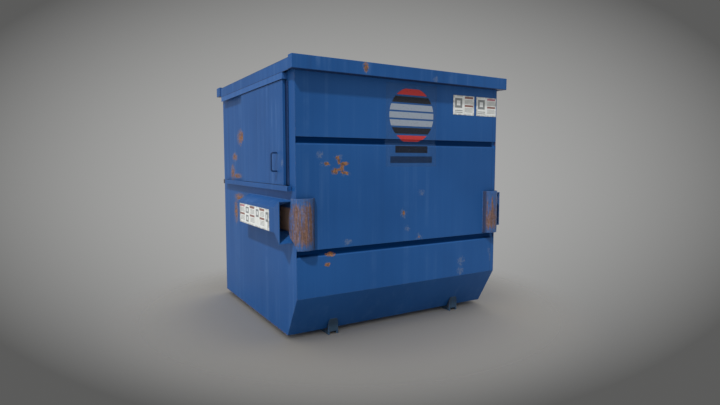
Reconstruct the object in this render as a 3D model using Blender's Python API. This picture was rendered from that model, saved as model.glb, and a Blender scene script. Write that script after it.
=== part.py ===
"""Front-load dumpster with a rear-hinged steel lid and a sliding door in each side.

Metres, +Z up. The front faces -Y, and the origin is on the ground under the middle of the whole.
"""

import math

import bmesh
import bpy
from mathutils import Matrix, Vector

# Body shell
BODY_WIDTH = 1.829
BODY_DEPTH = 1.694
BODY_HEIGHT = 1.868
FLOOR_HEIGHT = 0.034
SLOPE_TOP = 0.330
SLOPE_RUN = 0.169
WALL_SHEET = 0.003
FLOOR_SHEET = 0.004
FIT_GAP = 0.0003
EDGE_BREAK = 0.001
CUT_OVERRUN = 0.020

# Grooves pressed across the front and the back
LOWER_GROOVE_FOOT = 0.608
UPPER_GROOVE_FOOT = 1.376
GROOVE_TALL = 0.052
GROOVE_LIP = 0.022
GROOVE_DEPTH = 0.014

# Frame round the top and round the side openings
TOP_RAIL_SIDE = 0.050
TUBE_WALL = 0.003
SILL_HEIGHT = 1.090
SILL_TUBE_SIDE = 0.040
HEADER_TALL = 0.068
HEADER_THICK = 0.050
POST_WIDTH = 0.102
POST_RETURN = 0.060
OPENING_BACK = 0.960

# Tracks that the side doors slide in
TRACK_OUT = 0.038
TRACK_SHEET = 0.004
TOP_TRACK_TALL = 0.042
TOP_TRACK_FRONT = 0.125
TOP_TRACK_BACK = 1.610
BOTTOM_TRACK_TALL = 0.037
BOTTOM_TRACK_DROP = 0.027
BOTTOM_TRACK_FRONT = 0.055
STOP_LONG = 0.028
STOP_SIDE_GAP = 0.002
STOP_CLEARANCE = 0.001
REAR_STOP_LONG = 0.044

# Side doors, drawn as the photograph shows them, almost shut
DOOR_FRONT = 0.136
DOOR_LENGTH = 0.908
DOOR_FACE_OUT = 0.030
DOOR_THICK = 0.020
DOOR_SHEET = 0.0025
DOOR_TRACK_GAP = 0.002
DOOR_SHUT_TRAVEL = 0.045
DOOR_OPEN_TRAVEL = 0.500
RUNNER_THICK = 0.006
RUNNER_SETBACK = 0.060
RUNNER_TRACK_GAP = 0.003
HANDLE_BEHIND_EDGE = 0.108
HANDLE_FOOT = 1.196
HANDLE_TALL = 0.128
HANDLE_STANDOFF = 0.046
HANDLE_BAR_RADIUS = 0.006
HANDLE_BEND = 0.014

# Lid
SKIRT_LAP = 0.012
SKIRT_DEPTH = 0.091
SKIRT_OUT = 0.037
LID_SHEET = 0.003
RIM_OUT = 0.045
RIM_PROUD = 0.010
FRONT_RIM_LONG = 0.060
FRONT_RIM_GAP = 0.003
REAR_RIM_LONG = 0.105
REAR_OVERHANG = 0.044
SWAGE_WIDTH = 0.110
SWAGE_RISE = 0.006
SWAGE_FLANK = 0.012
LID_RIB_WIDE = 0.040

# Lid hinge
HINGE_BACK = 0.068
ROD_RADIUS = 0.0125
ROD_CLEARANCE = 0.0005
EYE_WALL = 0.009
BRACKET_WIDE = 0.030
BRACKET_WEB = 0.006
BRACKET_SLOT = 0.014
BRACKET_TALL = 0.090
BRACKET_LOW = 0.008
STRAP_THICK = 0.010
STRAP_TALL = 0.078
STRAP_ROOT = 0.014
ROD_COLLAR_WALL = 0.007
ROD_COLLAR_LONG = 0.014
ROD_END = 0.012

# Fork pockets
POCKET_OUT = 0.096
POCKET_MOUTH_OUT = 0.104
POCKET_FOOT = 0.777
POCKET_SHOULDER = 0.951
POCKET_TOP = 1.000
POCKET_SHEET = 0.006
POCKET_FRONT = 0.0415
POCKET_FLARE = 0.110
POCKET_BACK = 0.950
MOUTH_FOOT = 0.712

# Half-round guards on the front corners
GUARD_RADIUS = 0.087
GUARD_INSET = 0.0575
GUARD_SETBACK = 0.035
GUARD_SHEET = 0.008
GUARD_FOOT = 0.667
GUARD_TALL = 0.350

# Skids under the floor
SKID_SPREAD = 1.150
SKID_WIDE = 0.080
SKID_FRONT = 0.120
SKID_BACK = 1.630
SKID_LEG = 0.012
SKID_BEND = 0.018
SKID_HOLLOW = 0.022

# Drain in the back panel
DRAIN_FROM_SIDE = 0.240
DRAIN_ABOVE_FLOOR = 0.055
DRAIN_PLUG_RADIUS = 0.026
DRAIN_FLANGE_WIDE = 0.012
DRAIN_FLANGE_THICK = 0.010
DRAIN_HEAD_SIDE = 0.022
DRAIN_HEAD_LONG = 0.018

# Label films
LABEL_THICK = 0.001
FRONT_LABEL_WIDE = 0.222
FRONT_LABEL_TALL = 0.153
FRONT_LABEL_BELOW_TOP = 0.080
FRONT_LABEL_SPACE = 0.024
FRONT_LABEL_EDGE = 0.005
POCKET_LABEL_FRONT = 0.245
POCKET_LABEL_LONG = 0.672
POCKET_LABEL_TALL = 0.152
POCKET_LABEL_LIFT = 0.001

# Counts, angles and shares
GUARD_RETREAT = math.radians(45)
GUARD_ARC_STEPS = 14
ROUND_STEPS = 24
BEND_STEPS = 4
BAR_RESOLUTION = 2
SHARP_ANGLE = math.radians(35)
GUARD_EDGE_SHARES = (
    (0.0, 1.0),
    (0.066, 0.925),
    (0.129, 0.84),
    (0.194, 0.71),
    (0.251, 0.54),
    (0.309, 0.325),
    (0.366, 0.13),
    (0.423, 0.03),
    (0.466, 0.0),
    (0.566, 0.0),
    (0.623, 0.2),
    (0.68, 0.39),
    (0.737, 0.5),
    (0.794, 0.56),
    (0.894, 0.6),
    (1.0, 0.62),
)
BRACKET_PLACE_SHARES = (-0.77, 0.0, 0.77)
BRACKET_EYE_SHARES = (-1 / 4, 5 / 12)
STRAP_EYE_SHARES = (1 / 12, -1 / 2)
RIB_PLACE_SHARES = (-0.66, 0.0, 0.66)
PLACE_WORDS = ("left", "centre", "right")
SIDES = {"left": -1, "right": 1}

# Places worked out from the sizes above
half_width = BODY_WIDTH / 2
eye_radius = ROD_RADIUS + ROD_CLEARANCE + EYE_WALL
front_overhang = FRONT_RIM_LONG + FRONT_RIM_GAP
whole_depth = front_overhang + BODY_DEPTH + HINGE_BACK + eye_radius
front_y = front_overhang - whole_depth / 2
back_y = front_y + BODY_DEPTH
inner_half_width = half_width - WALL_SHEET - FIT_GAP
skirt_foot = BODY_HEIGHT - SKIRT_LAP
lid_top = skirt_foot + SKIRT_DEPTH
pan_top = lid_top - RIM_PROUD
top_track_top = skirt_foot - FIT_GAP
top_track_foot = top_track_top - TOP_TRACK_TALL
bottom_track_foot = SILL_HEIGHT - BOTTOM_TRACK_DROP
bottom_track_top = bottom_track_foot + BOTTOM_TRACK_TALL
bottom_track_floor = bottom_track_foot + TRACK_SHEET
door_foot = bottom_track_top + DOOR_TRACK_GAP
door_top = top_track_foot - DOOR_TRACK_GAP
door_back = DOOR_FRONT + DOOR_LENGTH
bottom_track_back = door_back + DOOR_OPEN_TRAVEL + STOP_CLEARANCE - FIT_GAP
runner_in = DOOR_FACE_OUT - DOOR_THICK / 2 - RUNNER_THICK / 2
hinge_y = back_y + HINGE_BACK
hinge_z = skirt_foot
slope_rise = SLOPE_TOP - FLOOR_HEIGHT
slope_length = math.hypot(SLOPE_RUN, slope_rise)
slope_edge = FLOOR_SHEET * slope_length / slope_rise
slope_foot = slope_edge + (slope_rise - FLOOR_SHEET) * SLOPE_RUN / slope_rise
drain_x = half_width - DRAIN_FROM_SIDE
drain_z = FLOOR_HEIGHT + FLOOR_SHEET + DRAIN_ABOVE_FLOOR


def clear_scene():
    for thing in list(bpy.data.objects):
        bpy.data.objects.remove(thing, do_unlink=True)


def finish(name, colour, roughness, metallic):
    """A Principled material in the part's own colour."""
    material = bpy.data.materials.new(name)
    material.use_nodes = True
    shader = material.node_tree.nodes["Principled BSDF"]
    shader.inputs["Base Color"].default_value = (*colour, 1.0)
    shader.inputs["Roughness"].default_value = roughness
    shader.inputs["Metallic"].default_value = metallic
    material.diffuse_color = (*colour, 1.0)
    return material


def break_edges(piece):
    """Takes the sharpness off each folded or sheared edge."""
    bevel = piece.modifiers.new("broken_edges", "BEVEL")
    bevel.width = EDGE_BREAK
    bevel.segments = 1
    bevel.limit_method = "ANGLE"
    bevel.angle_limit = SHARP_ANGLE


def settle_origin(piece):
    """Puts the object's origin in the middle of its mesh and leaves the shape where it was."""
    corners = [Vector(corner) for corner in piece.bound_box]
    middle = sum(corners, Vector()) / len(corners)
    piece.data.transform(Matrix.Translation(-middle))
    piece.location = middle


def add_object(name, mesh, material):
    """Turns a bmesh into a named object whose faces point outwards."""
    bmesh.ops.recalc_face_normals(mesh, faces=mesh.faces)
    data = bpy.data.meshes.new(name)
    mesh.to_mesh(data)
    mesh.free()
    piece = bpy.data.objects.new(name, data)
    bpy.context.scene.collection.objects.link(piece)
    if material:
        data.materials.append(material)
    settle_origin(piece)
    return piece


def placed(axis, along, first, second):
    """A point from its place along one axis and its two places across it."""
    if axis == "X":
        return (along, first, second)
    if axis == "Y":
        return (first, along, second)
    return (first, second, along)


def joined_rings(mesh, near, far):
    """Quads between two rings that have as many points."""
    for index, corner in enumerate(near):
        following = (index + 1) % len(near)
        mesh.faces.new((corner, near[following], far[following], far[index]))


def loft(name, rings, material):
    """A solid through rings of points, capped at both ends."""
    mesh = bmesh.new()
    loops = [[mesh.verts.new(point) for point in ring] for ring in rings]
    for near, far in zip(loops, loops[1:]):
        joined_rings(mesh, near, far)
    mesh.faces.new(loops[0])
    mesh.faces.new(loops[-1])
    return add_object(name, mesh, material)


def prism(name, outline, axis, low, high, material):
    """A solid with one outline all along an axis."""
    rings = [[placed(axis, along, first, second) for first, second in outline] for along in (low, high)]
    return loft(name, rings, material)


def tube(name, outer, inner, axis, low, high, material):
    """A hollow bar, open at both ends, from two outlines that have as many points."""
    mesh = bmesh.new()
    loops = []
    for along, outline in ((low, outer), (low, inner), (high, inner), (high, outer)):
        loops.append([mesh.verts.new(placed(axis, along, first, second)) for first, second in outline])
    for index, loop in enumerate(loops):
        joined_rings(mesh, loop, loops[(index + 1) % len(loops)])
    return add_object(name, mesh, material)


def rectangle(first_low, second_low, first_high, second_high):
    return [
        (first_low, second_low),
        (first_high, second_low),
        (first_high, second_high),
        (first_low, second_high),
    ]


def shrunk(corners, wall):
    """The rectangle one wall thickness inside another, corner by corner."""
    (left, foot), (right, top) = corners[0], corners[2]
    side = math.copysign(wall, right - left)
    rise = math.copysign(wall, top - foot)
    return rectangle(left + side, foot + rise, right - side, top - rise)


def circle(middle, radius):
    first, second = middle
    turns = [2 * math.pi * step / ROUND_STEPS for step in range(ROUND_STEPS)]
    return [(first + radius * math.cos(turn), second + radius * math.sin(turn)) for turn in turns]


def round_edges(piece, radius, chosen):
    """Rounds the edges that a test picks by the places of their two ends."""
    weights = piece.data.attributes.new("bevel_weight_edge", "FLOAT", "EDGE")
    for edge in piece.data.edges:
        ends = [piece.location + piece.data.vertices[index].co for index in edge.vertices]
        weights.data[edge.index].value = float(chosen(*ends))
    bend = piece.modifiers.new("bends", "BEVEL")
    bend.width = radius
    bend.segments = BEND_STEPS
    bend.limit_method = "WEIGHT"


def block(name, low, high, material):
    """A rectangular solid between two opposite corners."""
    return prism(name, rectangle(low[0], low[1], high[0], high[1]), "Z", low[2], high[2], material)


def square_tube(name, corners, axis, low, high, material):
    piece = tube(name, corners, shrunk(corners, TUBE_WALL), axis, low, high, material)
    break_edges(piece)
    return piece


def cut(piece, cutter):
    """Takes a hidden cutter's shape out of a piece."""
    cutter.hide_render = True
    cutter.display_type = "WIRE"
    boolean = piece.modifiers.new("cut_by_" + cutter.name, "BOOLEAN")
    boolean.operation = "DIFFERENCE"
    boolean.solver = "EXACT"
    boolean.object = cutter


def outward(side, distance):
    """The X place at a distance outside a side wall's outer face."""
    return SIDES[side] * (half_width + distance)


def pivot(name, place):
    """An empty on a joint's axis, which carries what moves there."""
    empty = bpy.data.objects.new(name, None)
    empty.location = place
    bpy.context.scene.collection.objects.link(empty)
    return empty


def carry(carrier, pieces):
    for piece in pieces:
        piece.parent = carrier
        piece.matrix_parent_inverse = Matrix.Translation(-carrier.location)


def grooved_outline(face, inward, foot, top, groove_feet):
    """Section of a wall sheet from foot to top, pressed inwards at each groove."""
    back = face + inward * WALL_SHEET
    deep = face + inward * GROOVE_DEPTH
    deep_back = deep + inward * WALL_SHEET
    outer = [(face, foot)]
    inner = [(back, foot)]
    for groove_foot in groove_feet:
        groove_top = groove_foot + GROOVE_TALL
        lip_top = groove_foot + GROOVE_LIP
        outer += [(face, groove_foot), (deep, lip_top), (deep, groove_top), (face, groove_top)]
        inner += [
            (back, groove_foot - WALL_SHEET),
            (deep_back, lip_top - WALL_SHEET),
            (deep_back, groove_top + WALL_SHEET),
            (back, groove_top + WALL_SHEET),
        ]
    outer.append((face, top))
    inner.append((back, top))
    return outer + inner[::-1]


def grooved_panel(name, face, inward, foot, paint):
    feet = (LOWER_GROOVE_FOOT, UPPER_GROOVE_FOOT)
    outline = grooved_outline(face, inward, foot, BODY_HEIGHT, feet)
    return prism(name, outline, "X", -inner_half_width, inner_half_width, paint)


def shell(paint):
    """Floor, front slope, front and back."""
    slope = [
        (front_y, SLOPE_TOP - FIT_GAP),
        (front_y + SLOPE_RUN, FLOOR_HEIGHT),
        (front_y + slope_foot, FLOOR_HEIGHT),
        (front_y + slope_foot, FLOOR_HEIGHT + FLOOR_SHEET),
        (front_y + slope_edge, SLOPE_TOP - FIT_GAP),
    ]
    break_edges(prism("front_slope_plate", slope, "X", -inner_half_width, inner_half_width, paint))
    floor_front = front_y + slope_foot + FIT_GAP
    floor_back = back_y - WALL_SHEET - FIT_GAP
    floor_low = (-inner_half_width, floor_front, FLOOR_HEIGHT)
    floor_high = (inner_half_width, floor_back, FLOOR_HEIGHT + FLOOR_SHEET)
    break_edges(block("floor_plate", floor_low, floor_high, paint))
    break_edges(grooved_panel("front_panel", front_y, 1, SLOPE_TOP, paint))
    back = grooved_panel("back_panel", back_y, -1, FLOOR_HEIGHT, paint)
    hole = circle((drain_x, drain_z), DRAIN_PLUG_RADIUS)
    hole_back = back_y - WALL_SHEET - CUT_OVERRUN
    cut(back, prism("drain_hole_cutter", hole, "Y", hole_back, back_y + CUT_OVERRUN, None))
    break_edges(back)


def side_walls(side, paint):
    """The sheet under the door track, the fixed sheet behind the door and the front post."""
    inner, outer = outward(side, -WALL_SHEET), outward(side, 0)
    lower = [
        (front_y, SLOPE_TOP),
        (front_y + SLOPE_RUN, FLOOR_HEIGHT),
        (back_y, FLOOR_HEIGHT),
        (back_y, SILL_HEIGHT),
        (front_y, SILL_HEIGHT),
    ]
    break_edges(prism(side + "_lower_side", lower, "X", inner, outer, paint))
    upper_foot = SILL_HEIGHT + FIT_GAP
    upper = rectangle(front_y + OPENING_BACK, upper_foot, back_y, BODY_HEIGHT)
    break_edges(prism(side + "_rear_side", upper, "X", inner, outer, paint))
    post_back = front_y + POST_WIDTH
    post = [
        (outer, front_y),
        (outer, post_back),
        (outward(side, -POST_RETURN), post_back),
        (outward(side, -POST_RETURN), post_back - WALL_SHEET),
        (inner, post_back - WALL_SHEET),
        (inner, front_y),
    ]
    break_edges(prism(side + "_front_post", post, "Z", upper_foot, BODY_HEIGHT, paint))


def opening_frame(side, paint):
    """The tubes over and under a side opening."""
    opening_front = front_y + POST_WIDTH + FIT_GAP
    opening_back = front_y + OPENING_BACK - FIT_GAP
    header_foot = BODY_HEIGHT - HEADER_TALL
    header = rectangle(outward(side, -HEADER_THICK), header_foot, outward(side, 0), BODY_HEIGHT)
    square_tube(side + "_door_header", header, "Y", opening_front, opening_back, paint)
    sill_out = outward(side, -WALL_SHEET - FIT_GAP)
    sill_in = outward(side, -WALL_SHEET - FIT_GAP - SILL_TUBE_SIDE)
    sill = rectangle(sill_in, SILL_HEIGHT - SILL_TUBE_SIDE, sill_out, SILL_HEIGHT)
    square_tube(side + "_door_sill", sill, "Y", opening_front, opening_back, paint)


def top_rails(paint):
    """Square tubes behind the top edges of the front and the back."""
    foot = BODY_HEIGHT - TOP_RAIL_SIDE
    for name, face, inward in (("front_top_rail", front_y, 1), ("rear_top_rail", back_y, -1)):
        near = face + inward * (WALL_SHEET + FIT_GAP)
        corners = rectangle(near, foot, near + inward * TOP_RAIL_SIDE, BODY_HEIGHT)
        square_tube(name, corners, "X", -inner_half_width, inner_half_width, paint)


def track_outline(side, edge, leg):
    """An angle section: a leg on the wall and an outer lip that reaches to the open edge."""
    turn = math.copysign(TRACK_SHEET, edge - leg)
    wall = outward(side, FIT_GAP)
    lip_out = outward(side, TRACK_OUT)
    lip_in = outward(side, TRACK_OUT - TRACK_SHEET)
    lip = [(lip_out, leg), (lip_out, edge), (lip_in, edge), (lip_in, leg + turn)]
    return [(wall, leg), *lip, (wall, leg + turn)]


def tracks(side, paint):
    top = track_outline(side, top_track_foot, top_track_top)
    top_front, top_back = front_y + TOP_TRACK_FRONT, front_y + TOP_TRACK_BACK
    break_edges(prism(side + "_top_track", top, "Y", top_front, top_back, paint))
    bottom = track_outline(side, bottom_track_top, bottom_track_foot)
    bottom_front, bottom_back = front_y + BOTTOM_TRACK_FRONT, front_y + bottom_track_back
    break_edges(prism(side + "_bottom_track", bottom, "Y", bottom_front, bottom_back, paint))


def stops(side, steel):
    """Blocks that the door's lower runner comes up against when shut and when open."""
    wall = outward(side, STOP_SIDE_GAP)
    lip = outward(side, TRACK_OUT - TRACK_SHEET - STOP_SIDE_GAP)
    front_stop_back = front_y + DOOR_FRONT - DOOR_SHUT_TRAVEL - STOP_CLEARANCE
    front_low = (wall, front_stop_back - STOP_LONG, bottom_track_floor + FIT_GAP)
    front_high = (lip, front_stop_back, bottom_track_top - STOP_SIDE_GAP)
    break_edges(block(side + "_front_stop", front_low, front_high, steel))
    rear_stop_front = front_y + bottom_track_back + FIT_GAP
    rear_low = (outward(side, FIT_GAP), rear_stop_front, bottom_track_foot)
    rear_high = (outward(side, TRACK_OUT), rear_stop_front + REAR_STOP_LONG, bottom_track_top)
    break_edges(block(side + "_rear_stop", rear_low, rear_high, steel))


def pocket_ring(side, along, out, foot, shoulder):
    """Section of a fork pocket: sloping top, outer face and floor, open to the wall."""
    fall = POCKET_TOP - shoulder
    top_thick = POCKET_SHEET * math.hypot(fall, out) / out
    wall = outward(side, FIT_GAP)
    outer, inner = outward(side, out), outward(side, out - POCKET_SHEET)
    inner_shoulder = shoulder + fall * POCKET_SHEET / out - top_thick
    corners = [
        (wall, POCKET_TOP),
        (outer, shoulder),
        (outer, foot),
        (wall, foot),
        (wall, foot + POCKET_SHEET),
        (inner, foot + POCKET_SHEET),
        (inner, inner_shoulder),
        (wall, POCKET_TOP - top_thick),
    ]
    return [(x, front_y + along, z) for x, z in corners]


def fork_pocket(side, paint):
    flare_back = POCKET_FRONT + POCKET_FLARE
    rings = [
        pocket_ring(side, POCKET_FRONT, POCKET_MOUTH_OUT, MOUTH_FOOT, POCKET_TOP - FIT_GAP),
        pocket_ring(side, flare_back, POCKET_OUT, POCKET_FOOT, POCKET_SHOULDER),
        pocket_ring(side, POCKET_BACK, POCKET_OUT, POCKET_FOOT, POCKET_SHOULDER),
    ]
    break_edges(loft(side + "_fork_pocket", rings, paint))


def guard_arc(radius, retreat_share):
    """Angles along a guard, from the front panel round to the side wall or short of it."""
    front_end = math.pi - math.asin((GUARD_SETBACK + FIT_GAP) / radius)
    wall_end = -math.acos((GUARD_INSET + FIT_GAP) / radius)
    side_end = wall_end + retreat_share * (GUARD_RETREAT - wall_end)
    step_angle = (side_end - front_end) / GUARD_ARC_STEPS
    return [front_end + step_angle * step for step in range(GUARD_ARC_STEPS + 1)]


def guard_ring(side, height, retreat_share):
    middle_x, middle_y = half_width - GUARD_INSET, front_y + GUARD_SETBACK
    ring = []
    for radius, step in ((GUARD_RADIUS, 1), (GUARD_RADIUS - GUARD_SHEET, -1)):
        for angle in guard_arc(radius, retreat_share)[::step]:
            x = SIDES[side] * (middle_x + radius * math.cos(angle))
            ring.append((x, middle_y - radius * math.sin(angle), height))
    return ring


def corner_guard(side, steel):
    """A half-round plate round a front corner, its side edge cut back in a curve at both ends."""
    rings = []
    for height_share, retreat_share in GUARD_EDGE_SHARES:
        rings.append(guard_ring(side, GUARD_FOOT + height_share * GUARD_TALL, retreat_share))
    piece = loft(side + "_corner_guard", rings, steel)
    piece.data.shade_smooth()
    piece.data.set_sharp_from_angle(angle=SHARP_ANGLE)


def skid(side, paint):
    """A channel under the floor, with round bends, whose nose rises in front of the slope."""
    slope_at_nose = SLOPE_TOP - SKID_FRONT * slope_rise / SLOPE_RUN
    top = FLOOR_HEIGHT - FIT_GAP
    outline = [
        (front_y + SKID_FRONT, 0),
        (front_y + SKID_FRONT, slope_at_nose - FIT_GAP * slope_length / SLOPE_RUN),
        (front_y + SLOPE_RUN - FIT_GAP * SLOPE_RUN / slope_rise, top),
        (front_y + SKID_BACK, top),
        (front_y + SKID_BACK, 0),
    ]
    middle = SIDES[side] * SKID_SPREAD / 2
    half = SKID_WIDE / 2
    piece = prism(side + "_skid", outline, "X", middle - half, middle + half, paint)
    round_edges(piece, SKID_BEND, lambda one, other: min(one.z, other.z) > FIT_GAP and one.y != other.y)
    hollow_low = (middle - half + SKID_LEG, front_y + SKID_FRONT - CUT_OVERRUN, -CUT_OVERRUN)
    hollow_high = (middle + half - SKID_LEG, front_y + SKID_BACK + CUT_OVERRUN, SKID_HOLLOW)
    cut(piece, block(side + "_skid_cutter", hollow_low, hollow_high, None))
    break_edges(piece)


def eye_arc(first_turn, last_turn):
    """Points round the hinge eye, from one share of a turn to another, counted from +Y towards +Z."""
    steps = ROUND_STEPS // 2
    arc = []
    for step in range(steps + 1):
        angle = 2 * math.pi * (first_turn + (last_turn - first_turn) * step / steps)
        arc.append((hinge_y + eye_radius * math.cos(angle), hinge_z + eye_radius * math.sin(angle)))
    return arc


def drill_for_rod(piece, middle, wide):
    hole = circle((hinge_y, hinge_z), ROD_RADIUS + ROD_CLEARANCE)
    low, high = middle - wide / 2 - CUT_OVERRUN, middle + wide / 2 + CUT_OVERRUN
    cut(piece, prism(piece.name + "_rod_cutter", hole, "X", low, high, None))


def hinge_bracket(name, middle, paint):
    """A U-shaped bracket on the back panel, whose two ears hold the hinge rod."""
    root = back_y + FIT_GAP
    low = hinge_z - BRACKET_LOW - BRACKET_TALL
    outline = [(root, low), *eye_arc(*BRACKET_EYE_SHARES), (root, hinge_z - BRACKET_LOW)]
    piece = prism(name, outline, "X", middle - BRACKET_WIDE / 2, middle + BRACKET_WIDE / 2, paint)
    past_eye = eye_radius + CUT_OVERRUN
    slot_low = (middle - BRACKET_SLOT / 2, root + BRACKET_WEB, low - CUT_OVERRUN)
    slot_high = (middle + BRACKET_SLOT / 2, hinge_y + past_eye, hinge_z + past_eye)
    cut(piece, block(name + "_slot_cutter", slot_low, slot_high, None))
    drill_for_rod(piece, middle, BRACKET_WIDE)
    break_edges(piece)


def hinge_strap(name, middle, paint):
    """A plate on the lid's rear rim, with an eye that turns on the hinge rod."""
    root = back_y + REAR_OVERHANG + FIT_GAP
    top = hinge_z + STRAP_TALL
    plate = [(root, hinge_z + eye_radius), (root, top), (root + STRAP_ROOT, top)]
    outline = plate + eye_arc(*STRAP_EYE_SHARES)
    piece = prism(name, outline, "X", middle - STRAP_THICK / 2, middle + STRAP_THICK / 2, paint)
    drill_for_rod(piece, middle, STRAP_THICK)
    break_edges(piece)
    return piece


def hinge(paint, steel):
    """Brackets, rod and collars. Returns the straps, which turn with the lid."""
    straps = []
    for word, share in zip(PLACE_WORDS, BRACKET_PLACE_SHARES):
        middle = share * half_width
        hinge_bracket(word + "_hinge_bracket", middle, paint)
        straps.append(hinge_strap(word + "_hinge_strap", middle, paint))
    rod = circle((hinge_y, hinge_z), ROD_RADIUS)
    last_bracket = BRACKET_PLACE_SHARES[-1] * half_width + BRACKET_WIDE / 2
    rod_end = last_bracket + ROD_COLLAR_LONG + ROD_END
    break_edges(prism("hinge_rod", rod, "X", -rod_end, rod_end, steel))
    bore = circle((hinge_y, hinge_z), ROD_RADIUS + FIT_GAP)
    rim = circle((hinge_y, hinge_z), ROD_RADIUS + ROD_COLLAR_WALL)
    for side, sign in SIDES.items():
        near = sign * (last_bracket + FIT_GAP)
        far = near + sign * ROD_COLLAR_LONG
        break_edges(tube(side + "_rod_collar", rim, bore, "X", near, far, steel))
    return straps


def lid_rim(name, front, back, foot, inner_face, paint):
    """A box section across the lid, open to the inside under the lid sheet."""
    half = half_width + RIM_OUT
    piece = block(name, (-half, front, foot), (half, back, lid_top), paint)
    cavity_low = (-half + LID_SHEET, front + LID_SHEET, foot + LID_SHEET)
    cavity_high = (half - LID_SHEET, back - LID_SHEET, lid_top - LID_SHEET)
    cut(piece, block(name + "_cavity_cutter", cavity_low, cavity_high, None))
    window_low = (-inner_half_width, inner_face - CUT_OVERRUN / 2, foot + LID_SHEET)
    window_high = (inner_half_width, inner_face + CUT_OVERRUN / 2, pan_top - 2 * LID_SHEET)
    cut(piece, block(name + "_window_cutter", window_low, window_high, None))
    break_edges(piece)
    return piece


def pan_outline():
    """Section of the lid sheet: flat, with raised swages."""
    edge = half_width + SKIRT_OUT
    half_swage = SWAGE_WIDTH / 2
    top, under = [(-edge, pan_top)], [(-edge, pan_top - LID_SHEET)]
    for share in RIB_PLACE_SHARES:
        middle = share * half_width
        for line, level in ((top, pan_top), (under, pan_top - LID_SHEET)):
            line += [
                (middle - half_swage - SWAGE_FLANK, level),
                (middle - half_swage, level + SWAGE_RISE),
                (middle + half_swage, level + SWAGE_RISE),
                (middle + half_swage + SWAGE_FLANK, level),
            ]
    top.append((edge, pan_top))
    under.append((edge, pan_top - LID_SHEET))
    return top + under[::-1]


def lid_skirt(side, front, back, paint):
    """A flat bar on edge, under the side edge of the lid sheet."""
    outer = outward(side, SKIRT_OUT)
    inner = outward(side, SKIRT_OUT - LID_SHEET)
    top = pan_top - LID_SHEET - FIT_GAP
    piece = block(side + "_lid_skirt", (inner, front, skirt_foot), (outer, back, top), paint)
    break_edges(piece)
    return piece


def lid(paint):
    front_rim_back = front_y - FRONT_RIM_GAP
    front_rim_front = front_rim_back - FRONT_RIM_LONG
    rear_rim_back = back_y + REAR_OVERHANG
    rear_rim_front = rear_rim_back - REAR_RIM_LONG
    rear_rim_foot = BODY_HEIGHT + FIT_GAP
    pan_front, pan_back = front_rim_back + FIT_GAP, rear_rim_front - FIT_GAP
    pan = prism("lid_sheet", pan_outline(), "Y", pan_front, pan_back, paint)
    break_edges(pan)
    pieces = [
        pan,
        lid_rim("lid_front_rim", front_rim_front, front_rim_back, skirt_foot, front_rim_back, paint),
        lid_rim("lid_rear_rim", rear_rim_front, rear_rim_back, rear_rim_foot, rear_rim_front, paint),
    ]
    pieces += [lid_skirt(side, pan_front, pan_back, paint) for side in SIDES]
    rib_foot = BODY_HEIGHT + FIT_GAP
    rib_top = pan_top - LID_SHEET - FIT_GAP
    for word, share in zip(PLACE_WORDS, RIB_PLACE_SHARES):
        middle = share * half_width
        corners = rectangle(middle - LID_RIB_WIDE / 2, rib_foot, middle + LID_RIB_WIDE / 2, rib_top)
        pieces.append(square_tube(word + "_lid_rib", corners, "Y", front_y, pan_back, paint))
    return pieces


def door_panel(side, paint):
    """A folded tray, open towards the wall."""
    front, back = front_y + DOOR_FRONT, front_y + door_back
    inner, outer = outward(side, DOOR_FACE_OUT - DOOR_THICK), outward(side, DOOR_FACE_OUT)
    panel = block(side + "_door_panel", (inner, front, door_foot), (outer, back, door_top), paint)
    tray_low = (outward(side, 0), front + DOOR_SHEET, door_foot + DOOR_SHEET)
    tray_high = (outward(side, DOOR_FACE_OUT - DOOR_SHEET), back - DOOR_SHEET, door_top - DOOR_SHEET)
    cut(panel, block(side + "_door_tray_cutter", tray_low, tray_high, None))
    break_edges(panel)
    return panel


def door_runners(side, steel):
    """Flat bars on the door's upper and lower edges, which run in the tracks."""
    inner, outer = outward(side, runner_in), outward(side, runner_in + RUNNER_THICK)
    front, back = front_y + DOOR_FRONT, front_y + door_back
    top_low = (inner, front + RUNNER_SETBACK, door_top + FIT_GAP)
    top_high = (outer, back, top_track_top - TRACK_SHEET - RUNNER_TRACK_GAP)
    bottom_low = (inner, front, bottom_track_floor + FIT_GAP)
    bottom_high = (outer, back, door_foot - FIT_GAP)
    runners = [
        block(side + "_door_top_runner", top_low, top_high, steel),
        block(side + "_door_bottom_runner", bottom_low, bottom_high, steel),
    ]
    for runner in runners:
        break_edges(runner)
    return runners


def door_handle(side, steel):
    """A round bar bent to a U and welded to the door by both ends."""
    place_y = front_y + DOOR_FRONT + HANDLE_BEHIND_EDGE
    near, far = DOOR_FACE_OUT + FIT_GAP, DOOR_FACE_OUT + HANDLE_STANDOFF
    foot, top = HANDLE_FOOT, HANDLE_FOOT + HANDLE_TALL
    route = [(near, foot)]
    for turn_foot, start, rise in ((foot, -math.pi / 2, 1), (top, 0, -1)):
        for step in range(BEND_STEPS + 1):
            angle = start + math.pi / 2 * step / BEND_STEPS
            out = far - HANDLE_BEND + HANDLE_BEND * math.cos(angle)
            route.append((out, turn_foot + rise * HANDLE_BEND + HANDLE_BEND * math.sin(angle)))
    route.append((near, top))
    curve = bpy.data.curves.new(side + "_door_handle", "CURVE")
    curve.dimensions = "3D"
    curve.bevel_depth = HANDLE_BAR_RADIUS
    curve.bevel_resolution = BAR_RESOLUTION
    curve.use_fill_caps = True
    spline = curve.splines.new("POLY")
    spline.points.add(len(route) - 1)
    handle = bpy.data.objects.new(side + "_door_handle", curve)
    handle.location = (outward(side, DOOR_FACE_OUT), place_y, foot)
    for point, (out, height) in zip(spline.points, route):
        point.co = (SIDES[side] * (out - DOOR_FACE_OUT), 0, height - foot, 1)
    curve.materials.append(steel)
    bpy.context.scene.collection.objects.link(handle)
    return handle


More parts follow.
